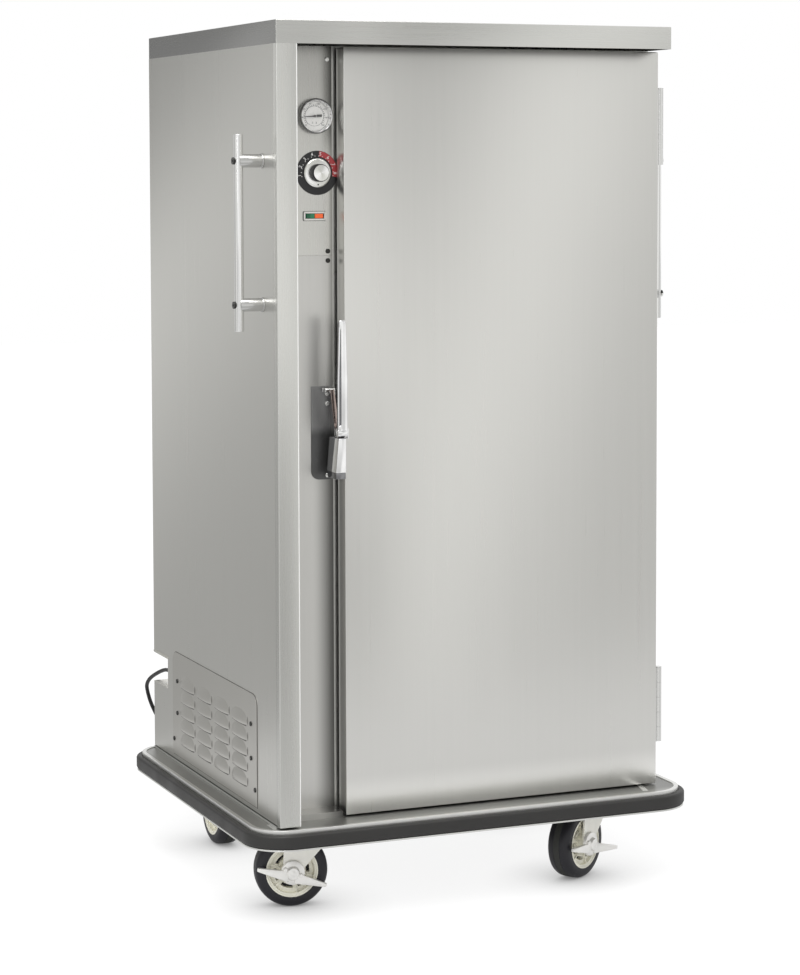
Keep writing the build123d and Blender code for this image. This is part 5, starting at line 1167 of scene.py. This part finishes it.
# Louvered panel. A screwed stainless plate with rounded top corners over the machine
# compartment. Its louvers are pressed out: shallow hoods, open along the foot. The dark
# colour is painted shade under each hood, on its lower faces and beside its front end,
# and a dark joint round the plate.
louver_steel = brushed("louver_steel", (0.56, 0.55, 0.52), grain_upright, rough=0.34, contrast=0.05, clouding=0.12)
louver_shade_and_joint = speckled("louver_shade_and_joint", (0.13, 0.126, 0.118), rough=(0.6, 0.8))
louver_low, louver_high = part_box("louver_panel")
louver_face, louver_corner, louver_outline = wall_low.x - 0.0015, 0.020, 0.0013
louver_half, louver_height, louver_bulge, slit_bulge = 0.042, 0.0225, 0.0042, 0.0009
louver_pitch, louver_rise, louver_first = 0.0965, 0.0266, 0.2165
louver_columns, louver_rows = 4, 5


def rounded_top_plate(bm, face, grow, back):
    """The panel's outline, grown a little, between two depths, with its top corners rounded."""
    before = set(bm.faces)
    plate = block(bm, (face, louver_low.y - grow, louver_low.z - grow),
                  (back, louver_high.y + grow, louver_high.z + grow))
    top_corners = [e for e in edges_along(plate, 0) if e.verts[0].co.z > louver_high.z - 0.001]
    round_edges(bm, top_corners, louver_corner + grow, 8)
    return added(bm.faces, before)


def louver_lump(bm, middle, foot, half, height, bulge, foot_share):
    """A shallow lump on the panel: highest in the middle, flat behind, and short below its foot."""
    kept, before = set(bm.verts), set(bm.faces)
    bmesh.ops.create_uvsphere(bm, u_segments=28, v_segments=14, radius=1)
    lump = added(bm.verts, kept)
    rotate(bm, lump, 90, "X")
    for vert in lump:
        vert.co.x = math.copysign(vert.co.x ** 2, vert.co.x)
        vert.co.y = math.copysign(abs(vert.co.y) ** 0.72, vert.co.y)
    bmesh.ops.scale(bm, vec=(bulge, half, height), verts=lump)
    bmesh.ops.scale(bm, vec=(1, 1, foot_share), verts=[v for v in lump if v.co.z < -1e-6])
    bmesh.ops.scale(bm, vec=(0.02, 1, 1), verts=[v for v in lump if v.co.x > 1e-6])
    shift(bm, lump, (louver_face, middle, foot))
    return added(bm.faces, before)


bm = bmesh.new()
rounded_top_plate(bm, louver_face, 0, wall_low.x - 0.00005)
bm.normal_update()
rim = [e for e in bm.edges if len(e.link_faces) == 2 and all(abs(v.co.x - louver_face) < 1e-5 for v in e.verts)]
round_edges(bm, rim, 0.0003, 1)
dark_faces = rounded_top_plate(bm, wall_low.x - 0.0005, louver_outline, wall_low.x - 0.00002)
for column in range(louver_columns):
    for row in range(louver_rows):
        y = (louver_low.y + louver_high.y) / 2 + (column - (louver_columns - 1) / 2) * louver_pitch
        foot = louver_first + row * louver_rise - louver_height / 2
        hood = louver_lump(bm, y, foot, louver_half, louver_height, louver_bulge, 0.12)
        # Painted shade: each hood's lower faces, a dark slit under its foot and a dark sliver beside its front end.
        dark_faces += [f for f in hood if f.calc_center_median().z < foot - 0.0004]
        dark_faces += louver_lump(bm, y, foot - 0.0026, louver_half - 0.004, 0.0017, slit_bulge, 1)
        dark_faces += louver_lump(bm, y - louver_half - 0.0010, foot + 0.0070, 0.0009, 0.0080, slit_bulge, 1)
paint(dark_faces, 1)
piece("louver_plate", bm, "cabinet", [louver_steel, louver_shade_and_joint], ("louver_panel",))


# Studio. A white floor and surround, which metal and glass reflect too, and soft lamps
# above and at the left. Four cards with soft grey shading, which only reflections see, give
# the steel its gradients.
scene.view_settings.view_transform = "Standard"
surround_soft, floor_lift, mirrored_lift, floor_shade = 0.85, 0.885, 0.62, 0.19
contact_reach, contact_depth = 0.13, 0.85


def light_path(tree, kind):
    return tree.nodes.new("ShaderNodeLightPath").outputs[kind]


def seen_rays(tree):
    """One for camera, glossy and transmission rays, nought for the rest."""
    seen = calc(tree, "MAXIMUM", light_path(tree, "Is Camera Ray"), light_path(tree, "Is Glossy Ray"))
    return calc(tree, "MAXIMUM", seen, light_path(tree, "Is Transmission Ray"))


world = bpy.data.worlds.new("studio")
scene.world = world
world.use_nodes = True
tree = world.node_tree
feed(tree, tree.nodes["Background"], {"Color": (1, 1, 1, 1),
                                      "Strength": map_range(tree, seen_rays(tree), surround_soft, 1.0)})

floor_paint, tree, shader = new_material("floor_paint")
rays = seen_rays(tree)
pale = ramp(tree, noise(tree, object_place(tree), 60.0, 3.0), [(0.3, (0.79, 0.79, 0.79)), (0.7, (0.81, 0.81, 0.81))])
seen = calc(tree, "MULTIPLY_ADD", light_path(tree, "Is Camera Ray"), floor_lift - mirrored_lift, mirrored_lift)
# Painted shadow: ambient occlusion dims the floor's glow close to the wheels and other parts, as contact shadow.
close = new_node(tree, "ShaderNodeAmbientOcclusion", {"Distance": contact_reach}).outputs["AO"]
held = calc(tree, "MULTIPLY", seen, map_range(tree, close, 1.0 - contact_depth, 1.0))
feed(tree, shader, {"Base Color": multiply(tree, pale, map_range(tree, rays, 1.0, floor_shade)), "Roughness": 0.85,
                    "Specular IOR Level": 0.1, "Emission Color": (1, 1, 1, 1),
                    "Emission Strength": calc(tree, "MULTIPLY", rays, held)})


def stage_grid(name, size, material, place=(0, 0, 0), turn=None):
    """A flat sheet of the studio: the floor or a card."""
    bm = bmesh.new()
    bmesh.ops.create_grid(bm, x_segments=2, y_segments=2, size=0.5)
    bmesh.ops.scale(bm, vec=(size[0], size[1], 1), verts=bm.verts)
    if turn:
        rotate(bm, bm.verts, 90, turn)
    shift(bm, bm.verts, place)
    mesh = bpy.data.meshes.new(name)
    bm.to_mesh(mesh)
    bm.free()
    mesh.materials.append(material)
    made = bpy.data.objects.new(name, mesh)
    scene.collection.objects.link(made)
    return made


stage_grid("studio_floor", (28, 28), floor_paint)


def card(name, size, place, start, end, stops, turn="X"):
    """Card that only reflections see, shaded from grey to white between two points."""
    made, tree, shader = new_material(name)
    tree.nodes.remove(shader)
    along = Vector(end) - Vector(start)
    offset = new_node(tree, "ShaderNodeVectorMath", {0: object_place(tree), 1: start}, operation="SUBTRACT")
    share = new_node(tree, "ShaderNodeVectorMath", {0: offset.outputs[0], 1: along / along.length_squared},
                     operation="DOT_PRODUCT").outputs["Value"]
    tones = ramp(tree, share, [(at, (tone, tone, tone * 0.985)) for at, tone in stops])
    feed(tree, tree.nodes["Material Output"], {"Surface": new_node(tree, "ShaderNodeEmission",
                                                                   {"Color": tones}).outputs[0]})
    sheet = stage_grid(name, size, made, place, turn)
    sheet.visible_camera = False
    sheet.visible_diffuse = False
    sheet.visible_shadow = False


card("card_behind", (3.0, 3.0), (-1.75, 1.05, 1.5), (-0.733, 1.05, 0.275), (0.005, 1.05, 0.89),
     [(0.03, 0.50), (0.20, 0.54), (0.37, 0.69), (0.58, 0.86), (0.66, 0.79), (0.74, 0.58), (0.80, 0.47), (0.88, 0.41),
      (1.0, 0.37)])
card("card_before", (2.945, 3.0), (1.5825, -1.3, 1.5), (-0.25, -1.3, 0.6), (0.97, -1.3, 0.0),
     [(0.0, 0.50), (0.11, 0.70), (0.20, 0.85), (0.30, 0.95), (0.40, 0.995), (0.50, 0.92), (0.60, 0.83),
      (0.70, 0.74), (0.80, 0.66), (0.90, 0.645), (1.0, 0.645)])
card("card_corner", (0.71, 3.0), (-0.245, -1.3, 1.5), (-0.2, -1.3, 0.0), (-0.2, -1.3, 1.6),
     [(0.0, 0.68), (0.05, 0.70), (0.18, 0.58), (0.31, 0.66), (0.43, 0.71), (0.56, 0.94), (0.69, 0.98), (0.82, 0.86),
      (0.93, 0.74)])
card("card_left", (3.0, 3.4), (-2.9, -0.6, 1.5), (-2.9, -2.3, 1.0), (-2.9, 1.1, 1.0),
     [(0.0, 0.60), (0.30, 0.55), (0.40, 0.98), (0.50, 0.98), (0.60, 0.55), (1.0, 0.60)], turn="Y")


def lamp(name, place, target, size, power):
    """A soft square lamp that faces a point."""
    data = bpy.data.lights.new(name, "AREA")
    data.energy, data.size = power, size
    made = bpy.data.objects.new(name, data)
    made.location = place
    made.rotation_euler = (Vector(target) - Vector(place)).to_track_quat("-Z", "Y").to_euler()
    scene.collection.objects.link(made)


lamp("lamp_above", (-0.6, -1.6, 4.2), (0, 0, 0.8), 2.6, 90)
lamp("lamp_left", (-3.4, -1.8, 2.4), (0, 0, 0.8), 1.8, 35)
